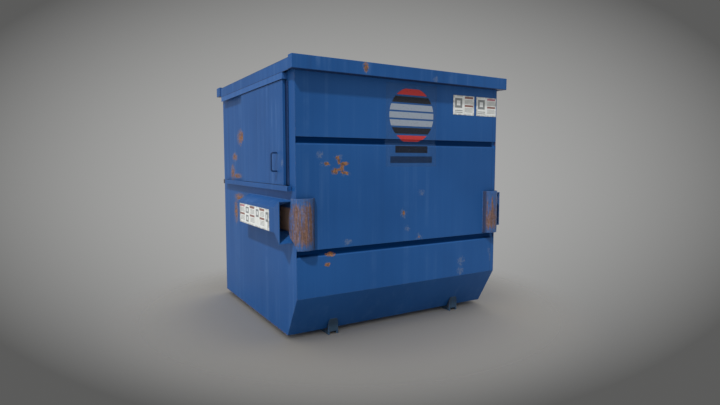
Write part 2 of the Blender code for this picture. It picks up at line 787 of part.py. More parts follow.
def drain(steel):
    """A flanged plug in the drain hole, with a square head."""
    near = back_y + FIT_GAP
    flange_back = near + DRAIN_FLANGE_THICK
    shank = circle((drain_x, drain_z), DRAIN_PLUG_RADIUS - FIT_GAP)
    flange = circle((drain_x, drain_z), DRAIN_PLUG_RADIUS + DRAIN_FLANGE_WIDE)
    sections = ((back_y - WALL_SHEET, shank), (near, shank), (near, flange), (flange_back, flange))
    rings = [[placed("Y", along, x, z) for x, z in outline] for along, outline in sections]
    plug = loft("drain_plug", rings, steel)
    half_head = DRAIN_HEAD_SIDE / 2
    head_low = (drain_x - half_head, flange_back - DRAIN_FLANGE_THICK / 2, drain_z - half_head)
    head_high = (drain_x + half_head, flange_back + DRAIN_HEAD_LONG, drain_z + half_head)
    head = block("drain_head_former", head_low, head_high, None)
    head.hide_render = True
    head.display_type = "WIRE"
    union = plug.modifiers.new("square_head", "BOOLEAN")
    union.operation = "UNION"
    union.solver = "EXACT"
    union.object = head
    break_edges(plug)


def labels(film):
    """Bare films on the front panel's upper right corner and on both fork pockets."""
    face = front_y - FIT_GAP
    right_edge = inner_half_width - FRONT_LABEL_EDGE
    pitch = FRONT_LABEL_WIDE + FRONT_LABEL_SPACE
    label_top = BODY_HEIGHT - FRONT_LABEL_BELOW_TOP
    label_foot = label_top - FRONT_LABEL_TALL
    for name, edge in (("outer_front_label", right_edge), ("inner_front_label", right_edge - pitch)):
        low = (edge - FRONT_LABEL_WIDE, face - LABEL_THICK, label_foot)
        high = (edge, face, label_top)
        block(name, low, high, film)
    foot = POCKET_FOOT + POCKET_LABEL_LIFT
    front = front_y + POCKET_LABEL_FRONT
    near = POCKET_OUT + FIT_GAP
    for side in SIDES:
        low = (outward(side, near), front, foot)
        high = (outward(side, near + LABEL_THICK), front + POCKET_LABEL_LONG, foot + POCKET_LABEL_TALL)
        block(side + "_pocket_label", low, high, film)


def build():
    clear_scene()
    paint = finish("blue_paint", (0.030, 0.098, 0.270), 0.48, 0.0)
    door_paint = finish("door_blue_paint", (0.034, 0.105, 0.280), 0.48, 0.0)
    lid_paint = finish("lid_blue_paint", (0.030, 0.090, 0.250), 0.50, 0.0)
    rusted = finish("rusted_plate", (0.165, 0.090, 0.055), 0.80, 0.2)
    steel = finish("dark_steel", (0.060, 0.065, 0.072), 0.55, 0.8)
    film = finish("label_film", (0.700, 0.690, 0.620), 0.45, 0.0)

    shell(paint)
    top_rails(paint)
    slides = {}
    for side in SIDES:
        side_walls(side, paint)
        opening_frame(side, paint)
        tracks(side, paint)
        stops(side, steel)
        fork_pocket(side, paint)
        corner_guard(side, rusted)
        skid(side, paint)
        place = (outward(side, DOOR_FACE_OUT - DOOR_THICK), front_y + DOOR_FRONT, door_foot)
        slides[side] = pivot(side + "_door_slide", place)
        pieces = [door_panel(side, door_paint), *door_runners(side, steel), door_handle(side, steel)]
        carry(slides[side], pieces)
    straps = hinge(paint, steel)
    lid_hinge = pivot("lid_hinge", (0, hinge_y, hinge_z))
    carry(lid_hinge, lid(lid_paint) + straps)
    drain(steel)
    labels(film)


build()
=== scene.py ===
"""Looks of a weathered blue steel dumpster: paint, rust, films and welds, and the light round it."""

import math

import bmesh
import bpy
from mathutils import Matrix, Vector


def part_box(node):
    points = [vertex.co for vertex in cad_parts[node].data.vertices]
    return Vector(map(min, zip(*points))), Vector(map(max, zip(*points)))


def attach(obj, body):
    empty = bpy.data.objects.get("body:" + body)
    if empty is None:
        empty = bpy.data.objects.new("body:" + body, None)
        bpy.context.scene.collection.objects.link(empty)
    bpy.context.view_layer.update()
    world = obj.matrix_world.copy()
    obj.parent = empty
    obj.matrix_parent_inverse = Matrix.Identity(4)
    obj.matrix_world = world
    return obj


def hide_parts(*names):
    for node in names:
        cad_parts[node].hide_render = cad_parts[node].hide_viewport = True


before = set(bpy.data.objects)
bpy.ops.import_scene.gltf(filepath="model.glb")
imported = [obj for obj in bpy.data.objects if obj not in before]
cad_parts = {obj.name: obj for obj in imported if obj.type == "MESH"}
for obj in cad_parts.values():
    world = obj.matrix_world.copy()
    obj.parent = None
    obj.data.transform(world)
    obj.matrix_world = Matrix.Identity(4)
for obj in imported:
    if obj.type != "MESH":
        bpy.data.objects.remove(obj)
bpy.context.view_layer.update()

SIDES = {"left": -1, "right": 1}

# Places read from the frame
wall_low, wall_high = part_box("left_lower_side")
half_width = -wall_low.x
front_y, back_y = wall_low.y, wall_high.y
floor_z = wall_low.z
panel_low, panel_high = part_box("front_panel")
rim_low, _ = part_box("lid_front_rim")
body_top = panel_high.z
bin_middle = (0.0, 0.0, body_top / 2)

# Grooves pressed across the front and the back, measured up from the ground
GROOVE_FEET = (0.608, 1.376)
GROOVE_LIP = 0.022
GROOVE_TALL = 0.052
GROOVE_DEPTH = 0.014

# Paint and rust, as linear colours
DEEP_BLUE = (0.009, 0.078, 0.262)
MID_BLUE = (0.013, 0.093, 0.302)
CHALK_BLUE = (0.075, 0.180, 0.410)
# Dark streaks and tone of paint and steel, and also painted shade along folds, seams, a guard's inner
# edge and the closing strips
NIGHT_BLUE = (0.003, 0.020, 0.078)
# Painted shade in the pressed grooves
GROOVE_SHADE_BLUE = (0.001, 0.030, 0.125)
HANDLE_BLUE = (0.010, 0.042, 0.130)
# Painted shade: the skids' paint made darker than the rest
SKID_SHADE_BLUE = (0.028, 0.058, 0.098)
TRACK_BLUE = (0.026, 0.115, 0.345)
GRIME = (0.046, 0.044, 0.046)
DARK_RUST = (0.105, 0.058, 0.042)
BROWN_RUST = (0.250, 0.120, 0.062)
ORANGE_RUST = (0.440, 0.200, 0.075)
PINK_RUST = (0.180, 0.112, 0.115)
GREY_SCUFF = (0.150, 0.195, 0.290)
PALE_SCRAPE = (0.330, 0.300, 0.340)
# Painted light for rust inside a pocket's mouth
LIT_RUST = (0.620, 0.400, 0.300)
BARE_STEEL = (0.180, 0.175, 0.170)
DARK_STEEL = (0.045, 0.048, 0.055)
FILM_WHITE = (0.815, 0.840, 0.825)
FILM_CREAM = (0.690, 0.700, 0.620)
PRINT_GREY = (0.170, 0.185, 0.190)
PRINT_LINE = (0.235, 0.235, 0.225)
PRINT_DARK = (0.016, 0.020, 0.030)
PRINT_RED = (0.560, 0.045, 0.045)
PRINT_PALE = (0.330, 0.380, 0.450)
PRINT_BROWN = (0.210, 0.060, 0.035)
PRINT_PINK = (0.480, 0.150, 0.190)
FLOOR_GREY = (0.615, 0.585, 0.535)

# Heights of surface texture
PAINT_THICK = 0.0003
RUST_PIT = 0.0006
ORANGE_PEEL = 0.00006
PANEL_WAVE = 0.0035

# How far from a sharp edge its wear reaches, and the rays that look for one
EDGE_REACH = 0.004
EDGE_SAMPLES = 4

# Lamps: way of the light, strength, and softness in degrees
KEY_WAY = (0.494, 0.356, -0.793)
KEY_STRENGTH = 2.2
KEY_SOFTNESS = 3.0
FILL_WAY = (0.49, 0.83, 0.26)
FILL_STRENGTH = 0.2
FILL_SOFTNESS = 35.0

# Sky light: its level, what the left and the back add to it, and its tint
SKY_LEVEL = 0.34
SKY_LEFT = 0.36
SKY_BACK = 0.50
SKY_BACK_WAY = (0.85, 0.53)
SKY_TINT = (1.0, 1.0, 1.0)

# Floor, in metres: its size, and how far out it fades
FLOOR_SIZE = 24.0
FLOOR_FADE = (1.2, 2.2)

# Backdrop: its glow ahead of the camera, its fall towards the corners, and a plain level elsewhere
BACKDROP_GLOW = 0.42
BACKDROP_LEAST = 0.105
BACKDROP_RISE = 0.034
BACKDROP_REACH = 0.3
BACKDROP_EDGE = (0.70, 0.77)
BACKDROP_FOOT = (-0.52, -0.46)
BACKDROP_PLAIN = 0.22
BACKDROP_TINT = (1.0, 1.0, 0.985)
FALL_ACROSS = 0.38
FALL_UPWARD = 1.26
FALL_RIGHT = 0.02

# Camera, in metres, radians and millimetres of lens and sensor
CAMERA_PLACE = (-2.2147, -3.8820, 1.2585)
CAMERA_DIP = 0.0816
CAMERA_TURN = -0.5363
CAMERA_LENS = 24.688
CAMERA_SENSOR = 36.0

# Where extra layers lie: a side's foot, a pocket's mouth with painted light, and the lid's seam, the
# grooves and the fold with painted shade
FOOT_START = 0.002
FOOT_RUST = 0.012
POCKET_MIDDLE = 0.865
POCKET_HALF = 0.085
MOUTH_MIDDLE = -0.550
MOUTH_HALF = 0.340
SEAM_FOOT = rim_low.z + 0.0012
SEAM_TOP = rim_low.z + 0.0055
GROOVE_END = 0.865
GROOVE_FADE = 0.030
SLOPE_CLEAR = 0.100
FOLD_PLACE = 0.875

# Plate over each upper track's front end
TRACK_CAP = 0.0025

# Closing strip behind each door's front edge
STRIP_IN = half_width - 0.002
STRIP_OUT = half_width + 0.008
STRIP_FROM_POST = 0.0002
STRIP_IN_DOOR = 0.0105
STRIP_OVER_FOOT = 0.002
STRIP_UNDER_HEADER = 0.001
STRIP_ROUNDING = 0.0015

# Handles and guards
HANDLE_SIDES = 20
HANDLE_BEND = 0.014
HANDLE_BEND_STEPS = 8
HANDLE_SMOOTH = 50
GUARD_BANDS = 14
GUARD_ROUNDING = 0.0016
GUARD_SHARP = 50
GUARD_SMOOTH = 40
GUARD_DENT = 0.0030
GUARD_DENT_LONG = 0.06

# Emblem film on the front
EMBLEM_X = 0.035
EMBLEM_Z = 1.607
EMBLEM_RADIUS = 0.205
EMBLEM_HALF = 0.235
EMBLEM_FOOT = 1.225
EMBLEM_TOP = 1.838
# Each bar's middle, half width, foot, top and strength
EMBLEM_BARS = ((0.035, 0.150, 1.328, 1.380, 0.55), (0.035, 0.195, 1.252, 1.302, 0.25))
EMBLEM_STRIPES = ("red", "dark", "pale", "pale", "pale", "dark", "red")
STRIPE_TALL = 0.22
STRIPE_GAP = 0.06
FILM_OFF = 0.0004
FILM_THICK = 0.0003

# Welds
WELD_RIPPLE = 0.0042
WELD_THICK = 0.0032
WELD_THIN = 0.0024
WELD_WAIST = 0.80
WELD_SIDES = 8
WELD_SMOOTH = 80
STITCH_LONG = 0.045
TRACK_STITCHES = 6
CORNER_STITCHES = 8
LID_STITCHES = 9
POCKET_WELD_SETBACK = 0.110
POCKET_FOOT = 0.777
EYE_CLEAR = 0.030
LID_THICK = 0.003

# How close corners are when they are merged, in pieces made here and in copies of nodes
MERGE = 0.00001
NODE_MERGE = 0.00002

# Rounded edges, and the angle in degrees up to which faces are shaded as one
BEVEL_STEPS = 3
SMOOTH = 35

# Patterns: scale, detail, roughness, stretch along X, Y and Z, and shift
EVEN = (1.0, 1.0, 1.0)
PATTERNS = {
    "broad": (1.3, 2.0, 0.50, EVEN, 0.0),
    "blotch": (5.0, 4.0, 0.60, EVEN, 5.0),
    "grain": (420.0, 2.0, 0.50, EVEN, 0.0),
    "run": (1.0, 3.0, 0.60, (17.0, 17.0, 0.55), 2.3),
    "thin_run": (1.0, 3.0, 0.60, (80.0, 80.0, 1.3), 8.1),
    "scuff": (1.0, 5.0, 0.75, (9.0, 9.0, 60.0), 4.4),
    "ragged": (46.0, 6.0, 0.72, EVEN, 6.2),
    "flecks": (105.0, 5.0, 0.70, EVEN, 7.4),
    "pits": (160.0, 4.0, 0.70, EVEN, 9.3),
    "coarse_rust": (60.0, 5.0, 0.70, EVEN, 3.1),
    "fine_rust": (190.0, 4.0, 0.70, EVEN, 1.7),
    "guard_wide": (1.0, 3.0, 0.60, (34.0, 34.0, 2.6), 1.2),
    "guard_thin": (1.0, 4.0, 0.65, (125.0, 125.0, 6.0), 3.7),
    "guard_hair": (1.0, 3.0, 0.60, (330.0, 330.0, 16.0), 7.3),
    "guard_ragged": (60.0, 6.0, 0.70, EVEN, 2.8),
    "guard_pits": (180.0, 4.0, 0.70, EVEN, 5.9),
    "steel_ragged": (70.0, 6.0, 0.70, EVEN, 0.0),
    "steel_broad": (9.0, 3.0, 0.50, EVEN, 4.0),
    "film_smear": (28.0, 5.0, 0.65, EVEN, 0.0),
    "film_specks": (300.0, 3.0, 0.60, EVEN, 2.0),
    "emblem_smear": (30.0, 5.0, 0.65, EVEN, 0.0),
    "emblem_chips": (120.0, 5.0, 0.70, EVEN, 2.0),
}

# Layers: the value at which one starts to show, the value at which it is full, and its strength then
LAYERS = {
    # Faces and edges
    "outward": (-0.02, 0.02, 1),
    "edge": (0.004, 0.12, 1),
    # The colours in rust
    "brown_rust": (0.40, 0.58, 1),
    "bloom_fine": (0.40, 0.62, 1),
    "bloom_coarse": (0.36, 0.60, 1),
    "bits_fine": (0.56, 0.66, 1),
    "bits_coarse": (0.60, 0.42, 1),
    # Paint
    "tone": (0.30, 0.70, 1),
    "pale_run": (0.48, 0.74, 0.55),
    "pale_thin_run": (0.56, 0.80, 0.18),
    "run_patch": (0.30, 0.62, 1),
    "dark_run": (0.46, 0.28, 0.14),
    "scuff": (0.68, 0.80, 0.30),
    "scuff_break": (0.40, 0.60, 1),
    "chip": (0.735, 0.77, 0.40),
    "edge_wear": (0.30, 0.62, 1),
    "edge_rust": (0.60, 0.66, 1),
    "scrape": (0.545, 0.62, 0.55),
    "scrape_rim": (0.0, 0.35, 1),
    "grime": (0.20, 0.75, 0.80),
    "inner_rust": (0.50, 0.58, 1),
    "spot": (0.55, 0.63, 1),
    "spot_rim": (0.0, 0.15, 1),
    "halo": (0.46, 0.58, 0.25),
    "halo_rim": (-0.05, 0.35, 1),
    # Paint's extra layers: painted shade in the grooves, along the fold and under the lid's rim, rust at
    # a side's foot, and the bay behind a pocket's mouth
    "sunk_shade": (0.20, 0.60, 1),
    "fold": (0.0030, 0.0006, 0.45),
    "underside": (-0.60, -0.95, 1),
    "foot_rust": (0.47, 0.56, 0.80),
    "bay": (1.05, 0.80, 1),
    "bay_rust": (0.34, 0.46, 1),
    # Guards
    "guard_ends": (0.55, 1.0, 0.11),
    "guard_right": (-0.1, 0.1, 1),
    "guard_upper": (-0.3, 0.6, 0.05),
    "guard_bare": (0.42, 0.54, 1),
    "guard_scuff": (0.35, 0.65, 0.35),
    "guard_pink": (0.58, 0.40, 0.75),
    "guard_brown": (0.47, 0.60, 0.60),
    "guard_orange": (0.50, 0.62, 0.50),
    "guard_orange_break": (0.40, 0.62, 1),
    "guard_dark": (0.60, 0.38, 0.90),
    "guard_thin_paint": (0.54, 0.70, 0.50),
    "guard_pale": (0.56, 0.66, 0.60),
    "guard_pale_break": (0.60, 0.46, 1),
    "guard_grime": (0.42, 0.60, 0.32),
    "guard_pale_spot": (0.44, 0.36, 0.50),
    # Steel
    "steel_tone": (0.3, 0.7, 1),
    "steel_rust": (0.52, 0.61, 1),
    # Films
    "film_cream": (0.40, 0.62, 0.45),
    "film_specks": (0.62, 0.72, 0.35),
    "film_rim": (0.40, 0.50, 1),
    "film_dirt": (0.35, 0.60, 0.55),
    "emblem_bar": (0.0, 0.1, 1),
    "emblem_chips": (0.56, 0.70, 0.45),
}

# Shares of the ragged pattern where it's mixed with one other
RAGGED_IN_BROKEN = 0.45
RAGGED_INSIDE = 0.60
RAGGED_IN_BAY = 0.70
RAGGED_ON_STEEL = 0.60

# Shares of the four patterns that make a guard's streaks
WIDE_SHARE = 0.30
THIN_SHARE = 0.34
HAIR_SHARE = 0.16
RAGGED_SHARE = 0.20

# How far a spot's depth helps its broken edge to show
SCRAPE_BITE = 0.14
HALO_BITE = 0.22

# Strengths of layers that have no levels of their own
SEAM_SHADE = 0.88
BAY_PAINTED_LIGHT = 0.70
GUARD_BROWN = 0.70
GUARD_INSIDE = 0.55
GUARD_EDGE_KEPT = 0.12
GUARD_EDGE_SHADE = 0.75
STEEL_EDGE = 0.50
STEEL_RUST = 0.85
STEEL_SHINE = 0.60
PRINT_COVER = 0.78
PRINT_SPECKS = 0.25
EMBLEM_COVER = 0.95
EMBLEM_HAZE = 0.07
EMBLEM_SMEAR = 0.06

# Soft edges, in metres: a guard's inner edge, which carries painted shade, the blocks on the labels and
# the emblem's print
GUARD_EDGE = (0.010, 0.028)
PRINT_SOFT = 0.0015
PRINT_EDGE = 0.001

# Roughness of each finish, and how much a layer adds to it
PAINT_ROUGH = 0.50
BLOTCH_ROUGH = 0.10
WORN_ROUGH = -0.05
RUST_ROUGH = 0.28
SOILED_ROUGH = 0.14
GUARD_ROUGH = 0.60
BARE_ROUGH = 0.20
STEEL_ROUGH = 0.48
STEEL_RUST_ROUGH = 0.32
FILM_ROUGH = 0.42
SMEAR_ROUGH = 0.20
EMBLEM_ROUGH = 0.45

# Specular levels
PAINT_GLOSS = 0.25
GUARD_GLOSS = 0.30


class Amount:
    """A value that varies over a surface. Arithmetic on it adds Math nodes to its finish."""

    def __init__(self, finish, socket):
        self.finish = finish
        self.socket = socket

    def math(self, operation, *values):
        return self.finish.add("ShaderNodeMath", {"operation": operation}, dict(enumerate(values)))

    def __add__(self, other):
        return self.math("ADD", self, other)

    def __mul__(self, other):
        return self.math("MULTIPLY", self, other)

    def __sub__(self, other):
        return self.math("SUBTRACT", self, other)

    def __rsub__(self, other):
        return self.math("SUBTRACT", other, self)

    def __truediv__(self, other):
        return self.math("DIVIDE", self, other)

    __radd__ = __add__
    __rmul__ = __mul__

    def root(self):
        return self.math("SQRT", self)

    def distance_to(self, other):
        return self.math("ABSOLUTE", self - other)

    def larger(self, other):
        return self.math("MAXIMUM", self, other)

    def smaller(self, other):
        return self.math("MINIMUM", self, other)

    def step(self, low, high):
        """Rises smoothly from 0 at one level to 1 at another."""
        values = {"Value": self, "From Min": low, "From Max": high}
        return self.finish.add("ShaderNodeMapRange", {"interpolation_type": "SMOOTHSTEP"}, values)

    def layer(self, name):
        """How strongly a layer shows, which may grow or shrink as this value rises."""
        start, full, strength = LAYERS[name]
        shown = self.step(start, full) if start < full else 1 - self.step(full, start)
        return shown if strength == 1 else shown * strength


class Finish:
    """A material in the making."""

    def __init__(self, name, tree=None):
        if tree is None:
            self.material = bpy.data.materials.new(name)
            self.material.use_nodes = True
            tree = self.material.node_tree
        self.tree = tree
        tree.nodes.clear()

    def add(self, kind, settings=None, sockets=None, out=0):
        """A new node with its settings, then its sockets' values or links. Returns one output."""
        node = self.tree.nodes.new(kind)
        for setting, value in (settings or {}).items():
            setattr(node, setting, value)
        for key, value in (sockets or {}).items():
            socket = node.inputs[key]
            if isinstance(value, Amount):
                self.tree.links.new(value.socket, socket)
            elif socket.type == "RGBA":
                socket.default_value = (*value, 1.0)
            else:
                socket.default_value = value
        return Amount(self, node.outputs[out])

    def vectors(self, operation, *values, out="Vector"):
        """Arithmetic on vectors."""
        return self.add("ShaderNodeVectorMath", {"operation": operation}, dict(enumerate(values)), out)

    def place(self):
        return self.add("ShaderNodeTexCoord", out="Object")

    def facing(self):
        return self.add("ShaderNodeTexCoord", out="Normal")

    def axes(self, vector):
        """The three parts of a vector."""
        split = self.add("ShaderNodeSeparateXYZ", None, {0: vector})
        node = split.socket.node
        return [Amount(self, output) for output in node.outputs]

    def pattern(self, name):
        """One of the named patterns, laid over the piece."""
        scale, detail, rough, stretch, shift = PATTERNS[name]
        moved = {"Vector": self.place(), "Scale": stretch, "Location": (shift, shift, shift)}
        spot = self.add("ShaderNodeMapping", None, moved)
        sockets = {"Vector": spot, "Scale": scale, "Detail": detail, "Roughness": rough}
        return self.add("ShaderNodeTexNoise", None, sockets)

    def mix(self, share, first, second):
        """A colour between two others."""
        return self.add("ShaderNodeMix", {"data_type": "RGBA"}, {0: share, 6: first, 7: second}, out=2)

    def inwardness(self):
        """1 on faces that look into the bin and 0 on those that look out."""
        spoke = self.vectors("SUBTRACT", self.place(), bin_middle)
        return 1 - self.vectors("DOT_PRODUCT", spoke, self.facing(), out="Value").layer("outward")

    def spot_depth(self, spots):
        """How deep a point lies inside the nearest spot: 1 at a spot's middle, 0 or less outside."""
        depth = None
        for centre, across, tall in spots:
            scale = (1 / across, 1 / across, 1 / tall)
            shift = tuple(-place * share for place, share in zip(centre, scale))
            moved = self.vectors("MULTIPLY_ADD", self.place(), scale, shift)
            inside = 1 - self.vectors("LENGTH", moved, out="Value")
            depth = inside if depth is None else depth.larger(inside)
        return depth

    def edges(self):
        """1 on sharp edges and 0 on flat faces."""
        rounded = self.add("ShaderNodeBevel", {"samples": EDGE_SAMPLES}, {"Radius": EDGE_REACH})
        straight = self.add("ShaderNodeNewGeometry", out="True Normal")
        return (1 - self.vectors("DOT_PRODUCT", rounded, straight, out="Value")).layer("edge")

    def close(self, colour, roughness, metallic=0.0, height=None, specular=0.5, alpha=1.0):
        """Joins the layers to a Principled shader. A height is in metres."""
        sockets = {
            "Base Color": colour,
            "Roughness": roughness,
            "Metallic": metallic,
            "Specular IOR Level": specular,
            "Alpha": alpha,
        }
        if height is not None:
            bump = {"Strength": 1.0, "Distance": 1.0, "Height": height}
            sockets["Normal"] = self.add("ShaderNodeBump", None, bump)
        self.add_output(self.add("ShaderNodeBsdfPrincipled", None, sockets))
        return self.material

    def add_output(self, shader, kind="ShaderNodeOutputMaterial"):
        output = self.tree.nodes.new(kind)
        self.tree.links.new(shader.socket, output.inputs["Surface"])


class Paint(Finish):
    """Weathered blue paint in the making, with the patterns that its layers share."""

    def __init__(self, name):
        super().__init__(name)
        self.x, self.y, self.z = self.axes(self.place())
        self.broad = self.pattern("broad")
        self.blotch = self.pattern("blotch")
        self.run = self.pattern("run")
        self.thin_run = self.pattern("thin_run")
        self.ragged = self.pattern("ragged")
        self.broken = self.ragged * RAGGED_IN_BROKEN + self.pattern("flecks") * (1 - RAGGED_IN_BROKEN)
        self.edge = self.edges()
        self.inward = self.inwardness()

    def blue(self, deep, mid, chalk):
        """The paint itself, with pale and dark runs, scuffs and chips."""
        colour = self.mix(self.broad.layer("tone"), deep, mid)
        pale_runs = self.run.layer("pale_run") + self.thin_run.layer("pale_thin_run")
        colour = self.mix(pale_runs * self.blotch.layer("run_patch") * chalk, colour, CHALK_BLUE)
        colour = self.mix(self.run.layer("dark_run") * chalk, colour, NIGHT_BLUE)
        scuffs = self.pattern("scuff").layer("scuff") * self.ragged.layer("scuff_break")
        return self.mix(scuffs.larger(self.ragged.layer("chip")), colour, CHALK_BLUE)

    def scrapes(self, spots):
        """Pale scrapes in the places given."""
        depth = self.spot_depth(spots)
        return (self.broken + depth * SCRAPE_BITE).layer("scrape") * depth.layer("scrape_rim")

    def halo(self, depth):
        """Thin paint round a rust spot."""
        return (self.broken + depth * HALO_BITE).layer("halo") * depth.layer("halo_rim")

    def spot_rust(self, depth, bite):
        """A broken rust spot, fuller where its bite is larger."""
        return (self.broken + depth * bite).layer("spot") * depth.layer("spot_rim")

    def inner_rust(self):
        """Rust scattered over the faces that look into the bin."""
        mixed = self.ragged * RAGGED_INSIDE + self.blotch * (1 - RAGGED_INSIDE)
        return mixed.layer("inner_rust")

    def grooves(self):
        """Where shade is painted: 1 in the pressed grooves of the front and the back, up to the fold."""
        depth = (self.y - front_y).smaller(back_y - self.y) / GROOVE_DEPTH
        before_fold = 1 - self.x.step(GROOVE_END, GROOVE_END + GROOVE_FADE)
        over_slope = self.z.step(panel_low.z, panel_low.z + SLOPE_CLEAR)
        return depth.layer("sunk_shade") * before_fold * over_slope

    def seam(self):
        """Painted shade on the foot and the underside of the lid's rim."""
        _, _, turn = self.axes(self.facing())
        foot = 1 - self.z.step(SEAM_FOOT, SEAM_TOP)
        return foot.larger(turn.layer("underside")) * SEAM_SHADE

    def foot_rust(self):
        """Rust along a side's lower edge."""
        foot = 1 - self.z.step(floor_z + FOOT_START, floor_z + FOOT_RUST)
        return foot * self.broken.layer("foot_rust")

    def bay(self):
        """1 on the outside of the wall behind a fork pocket's mouth, which gets rust and painted light.
        """
        up = self.z.distance_to(POCKET_MIDDLE) / POCKET_HALF
        along = self.y.distance_to(MOUTH_MIDDLE) / MOUTH_HALF
        return up.larger(along).layer("bay") * (1 - self.inward)

    def bay_rust(self, bay):
        """Rust that covers most of the bay."""
        mixed = self.ragged * RAGGED_IN_BAY + self.thin_run * (1 - RAGGED_IN_BAY)
        return bay * mixed.layer("bay_rust")


def rust_colour(finish):
    """Brown rust with darker pits, orange bloom and greyish pink bits."""
    coarse = finish.pattern("coarse_rust")
    fine = finish.pattern("fine_rust")
    colour = finish.mix(coarse.layer("brown_rust"), DARK_RUST, BROWN_RUST)
    colour = finish.mix(fine.layer("bloom_fine") * coarse.layer("bloom_coarse"), colour, ORANGE_RUST)
    return finish.mix(fine.layer("bits_fine") * coarse.layer("bits_coarse"), colour, PINK_RUST)


def painted(
    name,
    rust=(),
    scrapes=(),
    chalk=0.5,
    wear=0.45,
    inside=0.55,
    bite=0.28,
    blues=(DEEP_BLUE, MID_BLUE),
    zones=(),
):
    """Weathered blue paint: uneven tone, upright streaks, scuffs, worn edges and rust.

    A zone is the name of an extra layer: grooves, seam, foot or pocket_wall. Grooves and seam add
    painted shade, and pocket_wall adds rust with painted light over it.
    """
    paint = Paint(name)
    colour = paint.blue(*blues, chalk)
    worn = paint.edge * paint.ragged.layer("edge_wear") * wear
    colour = paint.mix(worn, colour, CHALK_BLUE)
    if scrapes:
        colour = paint.mix(paint.scrapes(scrapes), colour, GREY_SCUFF)
    soiled = paint.inward * inside
    colour = paint.mix(soiled * paint.blotch.layer("grime"), colour, GRIME)
    rusted = soiled * paint.inner_rust()
    rusted = rusted.larger(paint.edge * paint.ragged.layer("edge_rust") * wear)
    if rust:
        depth = paint.spot_depth(rust)
        colour = paint.mix(paint.halo(depth), colour, GREY_SCUFF)
        rusted = rusted.larger(paint.spot_rust(depth, bite))
    groove_shade_and_metal = 0.0
    # Painted shade in the grooves, which are also made metallic, and a thin line of painted shade along
    # the fold near the right edge
    if "grooves" in zones:
        groove_shade_and_metal = paint.grooves()
        colour = paint.mix(groove_shade_and_metal, colour, GROOVE_SHADE_BLUE)
        colour = paint.mix(paint.x.distance_to(FOLD_PLACE).layer("fold"), colour, NIGHT_BLUE)
    # Painted shade under the lid's rim
    if "seam" in zones:
        colour = paint.mix(paint.seam(), colour, NIGHT_BLUE)
    if "foot" in zones:
        rusted = rusted.larger(paint.foot_rust())
    if "pocket_wall" in zones:
        bay = paint.bay()
        rusted = rusted.larger(paint.bay_rust(bay))
    colour = paint.mix(rusted, colour, rust_colour(paint))
    # Painted light: a pale rust colour over the wall inside a pocket's mouth, where little light reaches
    if "pocket_wall" in zones:
        colour = paint.mix(bay * BAY_PAINTED_LIGHT, colour, LIT_RUST)
    roughness = PAINT_ROUGH + paint.blotch * BLOTCH_ROUGH + worn * WORN_ROUGH
    roughness = roughness + rusted * RUST_ROUGH + soiled * SOILED_ROUGH
    height = paint.broad * PANEL_WAVE + paint.pattern("grain") * ORANGE_PEEL
    height = height + rusted * (paint.pattern("pits") * RUST_PIT - PAINT_THICK)
    return paint.close(colour, roughness, groove_shade_and_metal, height, specular=PAINT_GLOSS)


def scraped_guard(name):
    """A plate scraped down to rust in upright streaks, with the blue paint left at its ends and painted
    shade along its inner edge.
    """
    plate = Finish(name)
    wide = plate.pattern("guard_wide")
    thin = plate.pattern("guard_thin")
    hair = plate.pattern("guard_hair")
    ragged = plate.pattern("guard_ragged")
    x, _, z = plate.axes(plate.place())
    low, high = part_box("left_corner_guard")
    rise = (z - (low.z + high.z) / 2) / ((high.z - low.z) / 2)
    edge_start, edge_end = GUARD_EDGE
    inner_edge = 1 - x.distance_to(0.0).step(edge_start - high.x, edge_end - high.x)
    kept = rise.distance_to(0.0).layer("guard_ends") + x.layer("guard_right") * rise.layer("guard_upper")
    kept = kept + inner_edge * GUARD_EDGE_KEPT
    streaks = wide * WIDE_SHARE + thin * THIN_SHARE + hair * HAIR_SHARE + ragged * RAGGED_SHARE
    bare = (streaks - kept).layer("guard_bare")
    layers = (
        (bare * GUARD_BROWN, BROWN_RUST),
        (bare * wide.layer("guard_pink"), PINK_RUST),
        (bare * wide.layer("guard_brown"), BROWN_RUST),
        (bare * thin.layer("guard_orange") * ragged.layer("guard_orange_break"), ORANGE_RUST),
        (bare * hair.layer("guard_dark"), DARK_RUST),
        ((1 - bare) * thin.layer("guard_thin_paint"), PINK_RUST),
        (bare * hair.layer("guard_pale") * wide.layer("guard_pale_break"), PALE_SCRAPE),
        (plate.inwardness() * GUARD_INSIDE, DARK_RUST),
        # Painted shade along the guard's inner edge, which turns away from the light
        (inner_edge * GUARD_EDGE_SHADE, NIGHT_BLUE),
        (ragged.layer("guard_grime"), GRIME),
        (bare * ragged.layer("guard_pale_spot"), PALE_SCRAPE),
    )
    colour = plate.mix(hair.layer("guard_scuff"), MID_BLUE, GREY_SCUFF)
    for share, tint in layers:
        colour = plate.mix(share, colour, tint)
    height = (1 - bare) * PAINT_THICK + plate.pattern("guard_pits") * RUST_PIT
    return plate.close(colour, GUARD_ROUGH + bare * BARE_ROUGH, 0.0, height, specular=GUARD_GLOSS)


def dirty_steel(name):
    """Dark greasy steel with rust starting on it."""
    steel = Finish(name)
    ragged = steel.pattern("steel_ragged")
    broad = steel.pattern("steel_broad")
    colour = steel.mix(broad.layer("steel_tone"), DARK_STEEL, NIGHT_BLUE)
    colour = steel.mix(steel.edges() * STEEL_EDGE, colour, BARE_STEEL)
    rust = (ragged * RAGGED_ON_STEEL + broad * (1 - RAGGED_ON_STEEL)).layer("steel_rust")
    colour = steel.mix(rust * STEEL_RUST, colour, rust_colour(steel))
    roughness = STEEL_ROUGH + rust * STEEL_RUST_ROUGH
    return steel.close(colour, roughness, (1 - rust) * STEEL_SHINE, ragged * PAINT_THICK)


